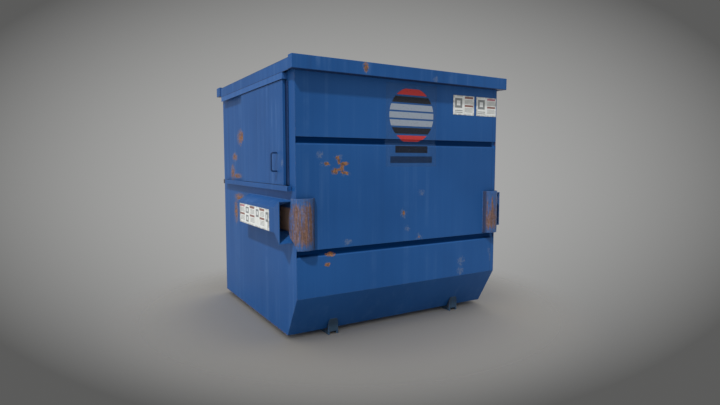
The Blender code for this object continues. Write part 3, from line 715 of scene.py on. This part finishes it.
def printed_film(name, low, high, across, blocks):
    """A pale film, dirty at its edges, printed with plain blocks.

    A block is its sides, foot and top as shares of the film, and its colour.
    """
    film = Finish(name)
    x, y, z = film.axes(film.place())
    along, start, end = (x, low.x, high.x) if across == "x" else (y, low.y, high.y)
    wide, tall = end - start, high.z - low.z
    sideways = (along - start) / wide
    upwards = (z - low.z) / tall
    smear = film.pattern("film_smear")
    specks = film.pattern("film_specks")
    colour = film.mix(smear.layer("film_cream"), FILM_WHITE, FILM_CREAM)
    colour = film.mix(specks.layer("film_specks"), colour, GRIME)
    for (left, right, foot, top), tint in blocks:
        past_side = (sideways.distance_to((left + right) / 2) - (right - left) / 2) * wide
        past_end = (upwards.distance_to((foot + top) / 2) - (top - foot) / 2) * tall
        inside = 1 - past_side.larger(past_end).step(-PRINT_SOFT / 2, PRINT_SOFT / 2)
        colour = film.mix(inside * (PRINT_COVER + specks * PRINT_SPECKS), colour, tint)
    rim = sideways.distance_to(0.5).larger(upwards.distance_to(0.5)).layer("film_rim")
    colour = film.mix(rim * smear.layer("film_dirt"), colour, GRIME)
    return film.close(colour, FILM_ROUGH + smear * SMEAR_ROUGH, 0.0, smear * ORANGE_PEEL)


def emblem_print(name):
    """A clear film with a disc of plain stripes and two plain bars, faded and scratched."""
    film = Finish(name)
    x, _, z = film.axes(film.place())
    across = x - EMBLEM_X
    rise = z - EMBLEM_Z
    distance = (across * across + rise * rise).root() - EMBLEM_RADIUS
    disc = 1 - distance.step(-PRINT_EDGE, PRINT_EDGE)
    tints = {"red": PRINT_RED, "pale": PRINT_PALE, "dark": PRINT_DARK}
    colour = CHALK_BLUE
    printed = 0.0
    for number, tint in enumerate(EMBLEM_STRIPES):
        level = (number - len(EMBLEM_STRIPES) // 2) * (STRIPE_TALL + STRIPE_GAP)
        past = rise.distance_to(EMBLEM_RADIUS * level) - EMBLEM_RADIUS * STRIPE_TALL / 2
        stripe = (1 - past.step(-PRINT_EDGE, PRINT_EDGE)) * disc
        colour = film.mix(stripe, colour, tints[tint])
        printed = stripe.larger(printed)
    for middle_x, half_wide, foot, top, strength in EMBLEM_BARS:
        past_side = x.distance_to(middle_x) - half_wide
        past_end = z.distance_to((foot + top) / 2) - (top - foot) / 2
        bar = (1 - past_side.larger(past_end).step(-PRINT_EDGE, PRINT_EDGE)) * strength
        colour = film.mix(bar.layer("emblem_bar"), colour, PRINT_DARK)
        printed = bar.larger(printed)
    print_cover = EMBLEM_COVER - film.pattern("emblem_chips").layer("emblem_chips")
    haze = EMBLEM_HAZE + film.pattern("emblem_smear") * EMBLEM_SMEAR
    cover = printed * print_cover + (1 - printed) * haze
    return film.close(colour, EMBLEM_ROUGH, 0.0, None, specular=PAINT_GLOSS, alpha=cover)


def dress(material, *nodes):
    """Gives CAD nodes a finish."""
    for node in nodes:
        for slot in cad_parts[node].material_slots:
            slot.material = material


def both(*words):
    """The names of nodes that come as a left and a right one."""
    return [side + "_" + word for word in words for side in SIDES]


def three(word):
    """The names of nodes that come as a left, a centre and a right one."""
    return [place + "_" + word for place in ("left", "centre", "right")]


# Rust on the front, by X and Z: place, reach across and reach upwards
FRONT_RUST = [
    ((-0.596, 1.287), 0.024, 0.020),
    ((-0.588, 1.262), 0.017, 0.028),
    ((-0.548, 1.249), 0.044, 0.017),
    ((-0.563, 1.224), 0.024, 0.036),
    ((-0.622, 1.195), 0.038, 0.028),
    ((-0.590, 1.208), 0.022, 0.014),
    ((-0.552, 1.186), 0.030, 0.015),
    ((-0.525, 1.179), 0.020, 0.014),
    ((-0.683, 1.247), 0.028, 0.014),
    ((-0.036, 0.876), 0.015, 0.022),
    ((0.111, 0.683), 0.010, 0.010),
    ((-0.655, 0.620), 0.048, 0.020),
    ((-0.680, 0.552), 0.026, 0.022),
]
# Pale scuffs on the front
FRONT_SCUFFS = [
    ((-0.695, 1.246), 0.055, 0.026),
    ((-0.733, 1.306), 0.036, 0.044),
    ((-0.535, 1.176), 0.055, 0.026),
    ((-0.592, 1.292), 0.046, 0.030),
    ((-0.036, 0.874), 0.044, 0.052),
    ((0.001, 0.757), 0.034, 0.032),
    ((0.111, 0.683), 0.044, 0.040),
    ((-0.522, 0.694), 0.050, 0.032),
    ((0.547, 0.448), 0.052, 0.052),
    ((0.539, 0.369), 0.050, 0.044),
    ((0.130, 1.020), 0.050, 0.036),
    ((0.858, 0.512), 0.020, 0.036),
    ((0.872, 0.455), 0.012, 0.060),
]
# Rust on the sides, by Y and Z
SIDE_RUST = [
    ((0.315, 1.470), 0.125, 0.085),
    ((0.490, 1.303), 0.100, 0.050),
    ((0.560, 1.165), 0.085, 0.095),
    ((0.430, 1.138), 0.200, 0.030),
    ((0.370, 0.950), 0.190, 0.050),
    ((0.480, 0.820), 0.075, 0.140),
]
# Marks on the lid's front rim, by X and Z
RIM_SCUFFS = [
    ((-0.408, 1.911), 0.040, 0.052),
    ((0.210, 1.878), 0.036, 0.034),
]
RIM_RUST = [
    ((-0.408, 1.911), 0.026, 0.040),
]
# Rust at each door's rear edge, and a scrape at its front edge
DOOR_RUST = ((0.180, 1.470), 0.050, 0.060)
DOOR_MARK = ((-0.700, 1.252), 0.035, 0.036)
# How fully the spots on the sides have rusted
SIDE_BITE = 0.17


def front_spots(spots, face):
    """Spots on a face that looks forward."""
    return [((x, face, z), *reach) for (x, z), *reach in spots]


def side_spots(spots, face):
    """The same spots on the left and the right face."""
    return [((sign * face, y, z), *reach) for sign in SIDES.values() for (y, z), *reach in spots]


door_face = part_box("right_door_panel")[1].x
front_rust = front_spots(FRONT_RUST, front_y)
front_scuffs = front_spots(FRONT_SCUFFS, front_y)
side_rust = side_spots(SIDE_RUST, half_width)
door_rust = side_spots([DOOR_RUST], door_face)
door_marks = side_spots([DOOR_MARK], door_face)
rim_rust = front_spots(RIM_RUST, rim_low.y)
rim_scuffs = front_spots(RIM_SCUFFS, rim_low.y)

body_paint = painted("body_paint", front_rust, front_scuffs, chalk=0.36, zones=("grooves",))
side_paint = painted("side_paint", side_rust, bite=SIDE_BITE, zones=("pocket_wall", "foot"))
rear_paint = painted("rear_paint", side_rust, chalk=1.4, bite=SIDE_BITE)
door_paint = painted("door_paint", door_rust, door_marks, chalk=1.3)
lid_paint = painted("lid_paint", chalk=0.9)
rim_paint = painted("rim_paint", rim_rust, rim_scuffs, chalk=0.8, inside=0.1, zones=("seam",))
plain_paint = painted("plain_paint", chalk=0.6)
pocket_paint = painted("pocket_paint", chalk=0.8, inside=0.15)
track_paint = painted("track_paint", chalk=0.9, inside=0.3, blues=(TRACK_BLUE, TRACK_BLUE))
back_paint = painted("back_paint", chalk=0.8, zones=("grooves",))
# Painted shade: a near-black paint for the closing strips, so that the gap before each door reads dark
strip_shade_paint = painted("strip_shade_paint", blues=(NIGHT_BLUE, NIGHT_BLUE))
handle_paint = painted("handle_paint", blues=(HANDLE_BLUE, HANDLE_BLUE))
# Painted shade: the skids get a darker paint, with worn edges
skid_shade_paint = painted("skid_shade_paint", chalk=0.6, wear=0.9, blues=(SKID_SHADE_BLUE, SKID_SHADE_BLUE))
weld_finish = painted("weld_finish", chalk=0.8, wear=0.9)
guard_finish = scraped_guard("guard_finish")
steel_finish = dirty_steel("steel_finish")
emblem_finish = emblem_print("emblem_finish")

dress(body_paint, "front_panel", "front_slope_plate")
dress(side_paint, *both("lower_side", "front_post"))
dress(rear_paint, *both("rear_side"))
dress(door_paint, *both("door_panel"))
dress(rim_paint, "lid_front_rim", "lid_rear_rim", *both("lid_skirt"))
dress(lid_paint, "lid_sheet", *three("lid_rib"), *three("hinge_strap"))
dress(back_paint, "back_panel")
dress(plain_paint, "floor_plate", "front_top_rail", "rear_top_rail")
dress(plain_paint, *both("door_header", "door_sill", "bottom_track", "front_stop"))
dress(track_paint, *both("top_track"))
dress(pocket_paint, *both("fork_pocket"))
dress(skid_shade_paint, *both("skid"))
dress(plain_paint, *three("hinge_bracket"))
dress(guard_finish, *both("corner_guard"))
dress(steel_finish, *both("rear_stop", "rod_collar", "door_top_runner", "door_bottom_runner"))
dress(steel_finish, "hinge_rod", "drain_plug")

# Rows of print on the films, as shares of a film's height
UPPER_HEADER = (0.85, 0.96)
LOWER_HEADER = (0.43, 0.53)
TEXT_LINES = (0.78, 0.72, 0.66, 0.60, 0.36, 0.30, 0.24, 0.18)
TEXT_HALF = 0.012
TEXT_INDENT = 0.02
UPPER_NOTE = (0.20, 0.24)
LOWER_NOTE = (0.11, 0.15)
MARK_SIDES = (0.08, 0.42)
MARK_ROWS = (0.36, 0.86)
NOTE_SIDES = (0.08, 0.44)
COLUMN_SIDES = (0.54, 0.95)


def film_column(left, right, header, second_header):
    """A column of print: two headers and rows of thin plain lines."""
    blocks = [((left, right, *UPPER_HEADER), header), ((left, right, *LOWER_HEADER), second_header)]
    for level in TEXT_LINES:
        blocks.append(((left, right - TEXT_INDENT, level - TEXT_HALF, level + TEXT_HALF), PRINT_LINE))
    return blocks


def film_mark(left, right, foot, top):
    """A plain grey block with a pale middle."""
    wide, tall = (right - left) / 4, (top - foot) / 4
    return [
        ((left, right, foot, top), PRINT_GREY),
        ((left + wide, right - wide, foot + tall, top - tall), FILM_WHITE),
    ]


def front_film(header, note):
    """The print of one front label: a mark over two lines, and a column beside them."""
    lines = [((*NOTE_SIDES, *UPPER_NOTE), note), ((*NOTE_SIDES, *LOWER_NOTE), PRINT_LINE)]
    return film_column(*COLUMN_SIDES, header, PRINT_BROWN) + film_mark(*MARK_SIDES, *MARK_ROWS) + lines


FRONT_FILMS = {
    "outer_front_label": front_film(PRINT_PINK, PRINT_LINE),
    "inner_front_label": front_film(PRINT_BROWN, PRINT_GREY),
}
# The long label on a pocket: marks by their sides, foot and top, and columns between them
POCKET_FILM = (
    film_mark(0.03, 0.10, 0.40, 0.85)
    + film_column(0.14, 0.29, PRINT_BROWN, PRINT_BROWN)
    + film_mark(0.32, 0.41, 0.50, 0.88)
    + film_column(0.46, 0.62, PRINT_BROWN, PRINT_BROWN)
    + film_mark(0.66, 0.77, 0.56, 0.88)
    + film_mark(0.67, 0.76, 0.12, 0.46)
    + film_column(0.81, 0.98, PRINT_PINK, PRINT_BROWN)
)
for label, blocks in FRONT_FILMS.items():
    dress(printed_film(label + "_film", *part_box(label), "x", blocks), label)
for label in both("pocket_label"):
    dress(printed_film(label + "_film", *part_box(label), "y", POCKET_FILM), label)


# Modelling by hand, in edit mode

def start_piece(name, material):
    """Names the primitive just added and opens it for editing."""
    piece = bpy.context.object
    piece.name = piece.data.name = name
    piece.data.materials.append(material)
    bpy.ops.object.transform_apply(location=True, rotation=True, scale=True)
    bpy.ops.object.mode_set(mode="EDIT")
    return piece


def pick(kind, test):
    """Selects the faces, edges or corners that pass a test."""
    mesh = bmesh.from_edit_mesh(bpy.context.object.data)
    bpy.ops.mesh.select_mode(type=kind)
    bpy.ops.mesh.select_all(action="DESELECT")
    parts = {"VERT": mesh.verts, "EDGE": mesh.edges, "FACE": mesh.faces}[kind]
    for part in parts:
        part.select_set(test(part))
    mesh.select_flush_mode()
    bmesh.update_edit_mesh(bpy.context.object.data)


def draw_out(move):
    """Extrudes what is selected."""
    bpy.ops.mesh.extrude_region_move(TRANSFORM_OT_translate={"value": move})


def close_piece(angle=SMOOTH):
    """Makes the faces point outwards, leaves edit mode and smooths the shading."""
    bpy.ops.mesh.select_all(action="SELECT")
    bpy.ops.mesh.remove_doubles(threshold=MERGE)
    bpy.ops.mesh.normals_make_consistent(inside=False)
    bpy.ops.object.mode_set(mode="OBJECT")
    bpy.ops.object.shade_smooth_by_angle(angle=math.radians(angle))


def modifier(piece, kind, **settings):
    """Adds a modifier and applies it."""
    added = piece.modifiers.new(kind.lower(), kind)
    for setting, value in settings.items():
        setattr(added, setting, value)
    bpy.context.view_layer.objects.active = piece
    bpy.ops.object.modifier_apply(modifier=added.name)


def only(piece):
    """Makes one object the selected and active one."""
    bpy.ops.object.select_all(action="DESELECT")
    piece.select_set(True)
    bpy.context.view_layer.objects.active = piece


def hand_over(piece, body, slot, *replaced):
    """Tells the frame what a piece moves with and the nodes it replaces. Its material slot is not used.
    """
    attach(piece, body)
    if replaced:
        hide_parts(*replaced)


def copy_of_node(node, name, material):
    """A new piece that starts as a CAD node's mesh, with its loose triangles joined."""
    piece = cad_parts[node].copy()
    piece.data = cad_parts[node].data.copy()
    piece.name = piece.data.name = name
    bpy.context.scene.collection.objects.link(piece)
    piece.data.materials.clear()
    piece.data.materials.append(material)
    only(piece)
    bpy.ops.object.mode_set(mode="EDIT")
    bpy.ops.mesh.select_all(action="SELECT")
    bpy.ops.mesh.remove_doubles(threshold=NODE_MERGE)
    bpy.ops.mesh.tris_convert_to_quads()
    bpy.ops.object.mode_set(mode="OBJECT")
    return piece


def bent_handle(side):
    """A round bar bent to a U, from the door out, up and back to it."""
    low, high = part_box(side + "_door_handle")
    sign = SIDES[side]
    bar = (high.y - low.y) / 2
    place_y = (high.y + low.y) / 2
    foot, top = low.z + bar, high.z - bar
    near = min(abs(low.x), abs(high.x))
    far = max(abs(low.x), abs(high.x)) - bar
    bpy.ops.mesh.primitive_circle_add(
        vertices=HANDLE_SIDES,
        radius=bar,
        fill_type="NGON",
        location=(sign * near, place_y, foot),
        rotation=(0, math.pi / 2, 0),
    )
    piece = start_piece(side + "_bent_handle", handle_paint)
    straight = far - HANDLE_BEND - near
    draw_out((sign * straight, 0, 0))
    upward = (0, 0, top - foot - 2 * HANDLE_BEND)
    back_in = (-sign * straight, 0, 0)
    for level, onward in ((foot + HANDLE_BEND, upward), (top - HANDLE_BEND, back_in)):
        bpy.ops.mesh.spin(
            steps=HANDLE_BEND_STEPS,
            angle=sign * math.pi / 2,
            center=(sign * (far - HANDLE_BEND), place_y, level),
            axis=(0, 1, 0),
        )
        draw_out(onward)
    close_piece(HANDLE_SMOOTH)
    hand_over(piece, side + "_door", "dark_steel", side + "_door_handle")


def closing_strip(side):
    """A flat bar on the post's rear edge, which the shut door laps over. Its near-black paint is painted
    shade in the gap before the door.
    """
    door_low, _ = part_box(side + "_door_panel")
    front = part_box(side + "_front_post")[1].y + STRIP_FROM_POST
    back = door_low.y + STRIP_IN_DOOR
    foot = door_low.z + STRIP_OVER_FOOT
    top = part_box(side + "_door_header")[0].z - STRIP_UNDER_HEADER
    place_x = SIDES[side] * (STRIP_IN + STRIP_OUT) / 2
    middle = (place_x, (front + back) / 2, (foot + top) / 2)
    bpy.ops.mesh.primitive_cube_add(size=1.0, location=middle)
    bpy.context.object.scale = (STRIP_OUT - STRIP_IN, back - front, top - foot)
    piece = start_piece(side + "_closing_strip", strip_shade_paint)
    pick("EDGE", lambda edge: all(abs(corner.co.x) > STRIP_OUT - FILM_OFF for corner in edge.verts))
    bpy.ops.mesh.bevel(offset=STRIP_ROUNDING, segments=BEVEL_STEPS)
    close_piece()
    hand_over(piece, "body", "blue_paint")


def track_cap(side):
    """A plate that closes the upper track's front end."""
    low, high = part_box(side + "_top_track")
    back = low.y - FILM_OFF / 2
    middle = ((low.x + high.x) / 2, back - TRACK_CAP / 2, (low.z + high.z) / 2)
    bpy.ops.mesh.primitive_cube_add(size=1.0, location=middle)
    bpy.context.object.scale = (high.x - low.x, TRACK_CAP, high.z - low.z)
    piece = start_piece(side + "_track_cap", track_paint)
    pick("EDGE", lambda edge: all(corner.co.y < back - TRACK_CAP / 2 for corner in edge.verts))
    bpy.ops.mesh.bevel(offset=TRACK_CAP / 3, segments=BEVEL_STEPS)
    close_piece()
    hand_over(piece, "body", "blue_paint")


def worn_guard(side):
    """The corner guard, with rounded edges and small dents."""
    node = side + "_corner_guard"
    piece = copy_of_node(node, side + "_worn_guard", guard_finish)
    low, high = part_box(node)
    bpy.ops.object.mode_set(mode="EDIT")
    for share in range(1, GUARD_BANDS):
        height = low.z + (high.z - low.z) * share / GUARD_BANDS
        bpy.ops.mesh.select_all(action="SELECT")
        bpy.ops.mesh.bisect(plane_co=(0, 0, height), plane_no=(0, 0, 1))
    bpy.ops.object.mode_set(mode="OBJECT")
    sharp = math.radians(GUARD_SHARP)
    modifier(piece, "BEVEL", width=GUARD_ROUNDING, segments=2, limit_method="ANGLE", angle_limit=sharp)
    dents = bpy.data.textures.new(side + "_dents", "CLOUDS")
    dents.noise_scale = GUARD_DENT_LONG
    modifier(piece, "SUBSURF", subdivision_type="SIMPLE", levels=1, render_levels=1)
    modifier(
        piece,
        "DISPLACE",
        texture=dents,
        texture_coords="LOCAL",
        strength=GUARD_DENT,
        mid_level=0.5,
        direction="NORMAL",
    )
    only(piece)
    bpy.ops.object.shade_smooth_by_angle(angle=math.radians(GUARD_SMOOTH))
    hand_over(piece, "body", "rusted_plate", node)


def emblem_film():
    """A thin clear film that follows the upper groove, printed with a striped disc and two bars."""
    face = front_y - FILM_OFF
    groove = GROOVE_FEET[1]
    profile = [
        (0.0, groove),
        (GROOVE_DEPTH, groove + GROOVE_LIP),
        (GROOVE_DEPTH, groove + GROOVE_TALL),
        (0.0, groove + GROOVE_TALL),
        (0.0, EMBLEM_TOP),
    ]
    height = groove - EMBLEM_FOOT
    middle = (EMBLEM_X, face, EMBLEM_FOOT + height / 2)
    bpy.ops.mesh.primitive_plane_add(size=1.0, location=middle, rotation=(math.pi / 2, 0, 0))
    bpy.context.object.scale = (2 * EMBLEM_HALF, height, 1.0)
    piece = start_piece("emblem_film", emblem_finish)
    depth, level = profile[0]
    pick("EDGE", lambda edge: all(corner.co.z > groove - FILM_OFF for corner in edge.verts))
    for next_depth, next_level in profile[1:]:
        draw_out((0, next_depth - depth, next_level - level))
        depth, level = next_depth, next_level
    bpy.ops.mesh.select_mode(type="EDGE")
    bpy.ops.mesh.select_all(action="SELECT")
    bpy.ops.mesh.normals_make_consistent(inside=False)
    bpy.ops.object.mode_set(mode="OBJECT")
    modifier(piece, "SOLIDIFY", thickness=FILM_THICK, offset=1.0)
    hand_over(piece, "body", "label_film")


def bead(start, end, thick, closed=True):
    """A straight run of weld, rippled all along."""
    start, end = Vector(start), Vector(end)
    run = end - start
    ripples = max(2, round(run.length / WELD_RIPPLE))
    half_step = run / ripples / 2
    turn = run.to_track_quat("Z", "Y").to_euler()
    bpy.ops.mesh.primitive_circle_add(
        vertices=WELD_SIDES, radius=thick * WELD_WAIST, location=start, rotation=turn
    )
    piece = start_piece("bead", weld_finish)
    for swell in (1 / WELD_WAIST, WELD_WAIST):
        draw_out(half_step)
        bpy.ops.transform.resize(value=(swell, swell, swell))
    bpy.ops.object.mode_set(mode="OBJECT")
    modifier(
        piece,
        "ARRAY",
        count=ripples,
        use_relative_offset=False,
        use_constant_offset=True,
        constant_offset_displace=half_step * 2,
        use_merge_vertices=True,
        merge_threshold=WELD_RIPPLE / 50,
    )
    only(piece)
    bpy.ops.object.mode_set(mode="EDIT")
    bpy.ops.mesh.select_all(action="SELECT")
    if closed:
        bpy.ops.mesh.fill_holes(sides=0)
    close_piece(WELD_SMOOTH)
    return piece


def stitches(start, end, count, long, thick):
    """Short runs of weld spaced evenly between two points."""
    start, end = Vector(start), Vector(end)
    run = end - start
    way = run.normalized()
    runs = []
    for number in range(count):
        middle = start + run * (number + 0.5) / count
        runs.append(bead(middle - way * long / 2, middle + way * long / 2, thick))
    return runs


def ring_bead(centre, radius, thick):
    """A run of weld round a bar that stands out sideways."""
    piece = bead((0, 0, 0), (2 * math.pi * radius, 0, 0), thick, closed=False)
    bpy.ops.curve.primitive_bezier_circle_add(radius=radius, location=(0, 0, 0))
    circle = bpy.context.object
    modifier(piece, "CURVE", object=circle, deform_axis="POS_X")
    bpy.data.objects.remove(circle)
    only(piece)
    piece.rotation_euler = (0, math.pi / 2, 0)
    piece.location = centre
    bpy.ops.object.transform_apply(location=True, rotation=True, scale=True)
    bpy.ops.object.mode_set(mode="EDIT")
    bpy.ops.mesh.select_all(action="SELECT")
    bpy.ops.mesh.remove_doubles(threshold=WELD_RIPPLE / 5)
    close_piece(WELD_SMOOTH)
    return piece


def joined(name, runs, body, slot):
    """Makes several runs of weld one piece."""
    bpy.ops.object.select_all(action="DESELECT")
    for run in runs:
        run.select_set(True)
    bpy.context.view_layer.objects.active = runs[0]
    bpy.ops.object.join()
    piece = bpy.context.object
    piece.name = piece.data.name = name
    hand_over(piece, body, slot)


def side_welds(side):
    """Welds of the fork pocket, the guard, the tracks and the rear corner on one side."""
    sign = SIDES[side]
    wall = sign * half_width
    pocket_low, pocket_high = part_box(side + "_fork_pocket")
    guard_low, guard_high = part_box(side + "_corner_guard")
    track_low, track_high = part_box(side + "_bottom_track")
    rail_low, rail_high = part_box(side + "_top_track")
    guard_edge = sign * min(abs(guard_low.x), abs(guard_high.x))
    pocket_start = pocket_low.y + POCKET_WELD_SETBACK
    runs = [
        bead((guard_edge, front_y, guard_low.z), (guard_edge, front_y, guard_high.z), WELD_THICK),
        bead((wall, pocket_start, pocket_high.z), (wall, pocket_high.y, pocket_high.z), WELD_THICK),
        bead((wall, pocket_start, POCKET_FOOT), (wall, pocket_high.y, POCKET_FOOT), WELD_THICK),
    ]
    for low, high, thick in ((track_low, track_high, WELD_THICK), (rail_low, rail_high, WELD_THIN)):
        runs += stitches((wall, low.y, low.z), (wall, high.y, low.z), TRACK_STITCHES, STITCH_LONG, thick)
    corner = sign * (half_width - WELD_THIN)
    corner_ends = (corner, back_y, floor_z), (corner, back_y, body_top)
    runs += stitches(*corner_ends, CORNER_STITCHES, STITCH_LONG * 2, WELD_THIN)
    joined(side + "_welds", runs, "body", "blue_paint")


def back_welds():
    """Welds of the hinge brackets."""
    runs = []
    for bracket in three("hinge_bracket"):
        low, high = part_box(bracket)
        for edge in (low.x, high.x):
            runs.append(bead((edge, back_y, low.z), (edge, back_y, high.z - EYE_CLEAR), WELD_THICK))
    joined("back_welds", runs, "body", "blue_paint")


def lid_welds():
    """Welds between the lid sheet and its rims."""
    low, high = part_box("lid_sheet")
    rim_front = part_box("lid_front_rim")[1].y
    rim_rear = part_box("lid_rear_rim")[0].y
    pan_top = low.z + LID_THICK
    runs = []
    for edge in (rim_front, rim_rear):
        ends = (low.x, edge, pan_top), (high.x, edge, pan_top)
        runs += stitches(*ends, LID_STITCHES, STITCH_LONG, WELD_THIN)
    joined("lid_welds", runs, "lid", "lid_paint")


def handle_welds(side):
    """Welds round the handle's two feet."""
    low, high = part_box(side + "_door_handle")
    bar = (high.y - low.y) / 2
    place_y = (high.y + low.y) / 2
    near = SIDES[side] * min(abs(low.x), abs(high.x))
    levels = (low.z + bar, high.z - bar)
    runs = [ring_bead((near, place_y, level), bar + WELD_THIN / 3, WELD_THIN) for level in levels]
    joined(side + "_handle_welds", runs, side + "_door", "dark_steel")


def lamp(name, way, strength, softness, floor):
    """A far soft light that leaves the floor alone. Its softness is an angle in degrees."""
    light = bpy.data.lights.new(name, "SUN")
    light.energy = strength
    light.angle = math.radians(softness)
    piece = bpy.data.objects.new(name, light)
    piece.rotation_euler = Vector(way).to_track_quat("-Z", "Y").to_euler()
    bpy.context.scene.collection.objects.link(piece)
    for kind in ("receiver", "blocker"):
        others = bpy.data.collections.new(name + "_" + kind)
        setattr(piece.light_linking, kind + "_collection", others)
        others.objects.link(floor)
        others.collection_objects[0].light_linking.link_state = "EXCLUDE"


def studio_floor():
    """A pale floor that fades into the backdrop."""
    bpy.ops.mesh.primitive_plane_add(size=FLOOR_SIZE)
    floor = bpy.context.object
    floor.name = "floor"
    ground = Finish("floor_grey")
    faded = ground.vectors("LENGTH", ground.place(), out="Value").step(*FLOOR_FADE)
    shader = ground.add("ShaderNodeBsdfDiffuse", None, {"Color": FLOOR_GREY})
    clear = ground.add("ShaderNodeBsdfTransparent")
    ground.add_output(ground.add("ShaderNodeMixShader", None, {0: faded, 1: shader, 2: clear}))
    floor.data.materials.append(ground.material)
    return floor


def studio_camera():
    """The main camera, in front of the object and to its left."""
    lens = bpy.data.cameras.new("camera")
    lens.sensor_width = CAMERA_SENSOR
    lens.lens = CAMERA_LENS
    camera = bpy.data.objects.new("camera", lens)
    camera.location = CAMERA_PLACE
    camera.rotation_euler = (math.pi / 2 - CAMERA_DIP, 0.0, CAMERA_TURN)
    bpy.context.scene.collection.objects.link(camera)
    bpy.context.scene.camera = camera
    return camera


def studio_sky(camera):
    """Soft light from all round, stronger from the left, and a grey backdrop with darker corners."""
    world = bpy.data.worlds.new("studio")
    bpy.context.scene.world = world
    world.use_nodes = True
    sky = Finish("sky", world.node_tree)
    aim = sky.add("ShaderNodeTexCoord", out="Generated")
    turn = camera.rotation_euler.to_matrix()
    views = (turn.col[0], turn.col[1], -turn.col[2])
    across, upward, ahead = [sky.vectors("DOT_PRODUCT", aim, tuple(axis), out="Value") for axis in views]
    sideways, endways, lift = sky.axes(aim)
    far = ahead.larger(BACKDROP_REACH)
    across = across / far
    upward = upward / far - BACKDROP_RISE
    glow = BACKDROP_GLOW - across * FALL_RIGHT
    glow = glow - across * across * FALL_ACROSS - upward * upward * FALL_UPWARD
    framed = ahead.step(*BACKDROP_EDGE) * lift.step(*BACKDROP_FOOT)
    glow = glow.larger(BACKDROP_LEAST) * framed + (1 - framed) * BACKDROP_PLAIN
    backdrop = sky.add("ShaderNodeBackground", None, {"Color": BACKDROP_TINT, "Strength": glow})
    behind = (sideways * SKY_BACK_WAY[0] + endways * SKY_BACK_WAY[1]).step(0.0, 1.0)
    soft = SKY_LEVEL + (1 - sideways.step(-1.0, 0.0)) * SKY_LEFT + behind * SKY_BACK
    light = sky.add("ShaderNodeBackground", None, {"Color": SKY_TINT, "Strength": soft})
    seen = sky.add("ShaderNodeLightPath", out="Is Camera Ray")
    shader = sky.add("ShaderNodeMixShader", None, {0: seen, 1: light, 2: backdrop})
    sky.add_output(shader, "ShaderNodeOutputWorld")


def studio():
    """The floor, the light and the camera."""
    bpy.context.scene.view_settings.view_transform = "Standard"
    floor = studio_floor()
    studio_sky(studio_camera())
    lamp("key", KEY_WAY, KEY_STRENGTH, KEY_SOFTNESS, floor)
    lamp("fill", FILL_WAY, FILL_STRENGTH, FILL_SOFTNESS, floor)


bpy.ops.object.select_all(action="DESELECT")
for side in SIDES:
    bent_handle(side)
    closing_strip(side)
    track_cap(side)
    worn_guard(side)
    side_welds(side)
    handle_welds(side)
emblem_film()
back_welds()
lid_welds()
studio()
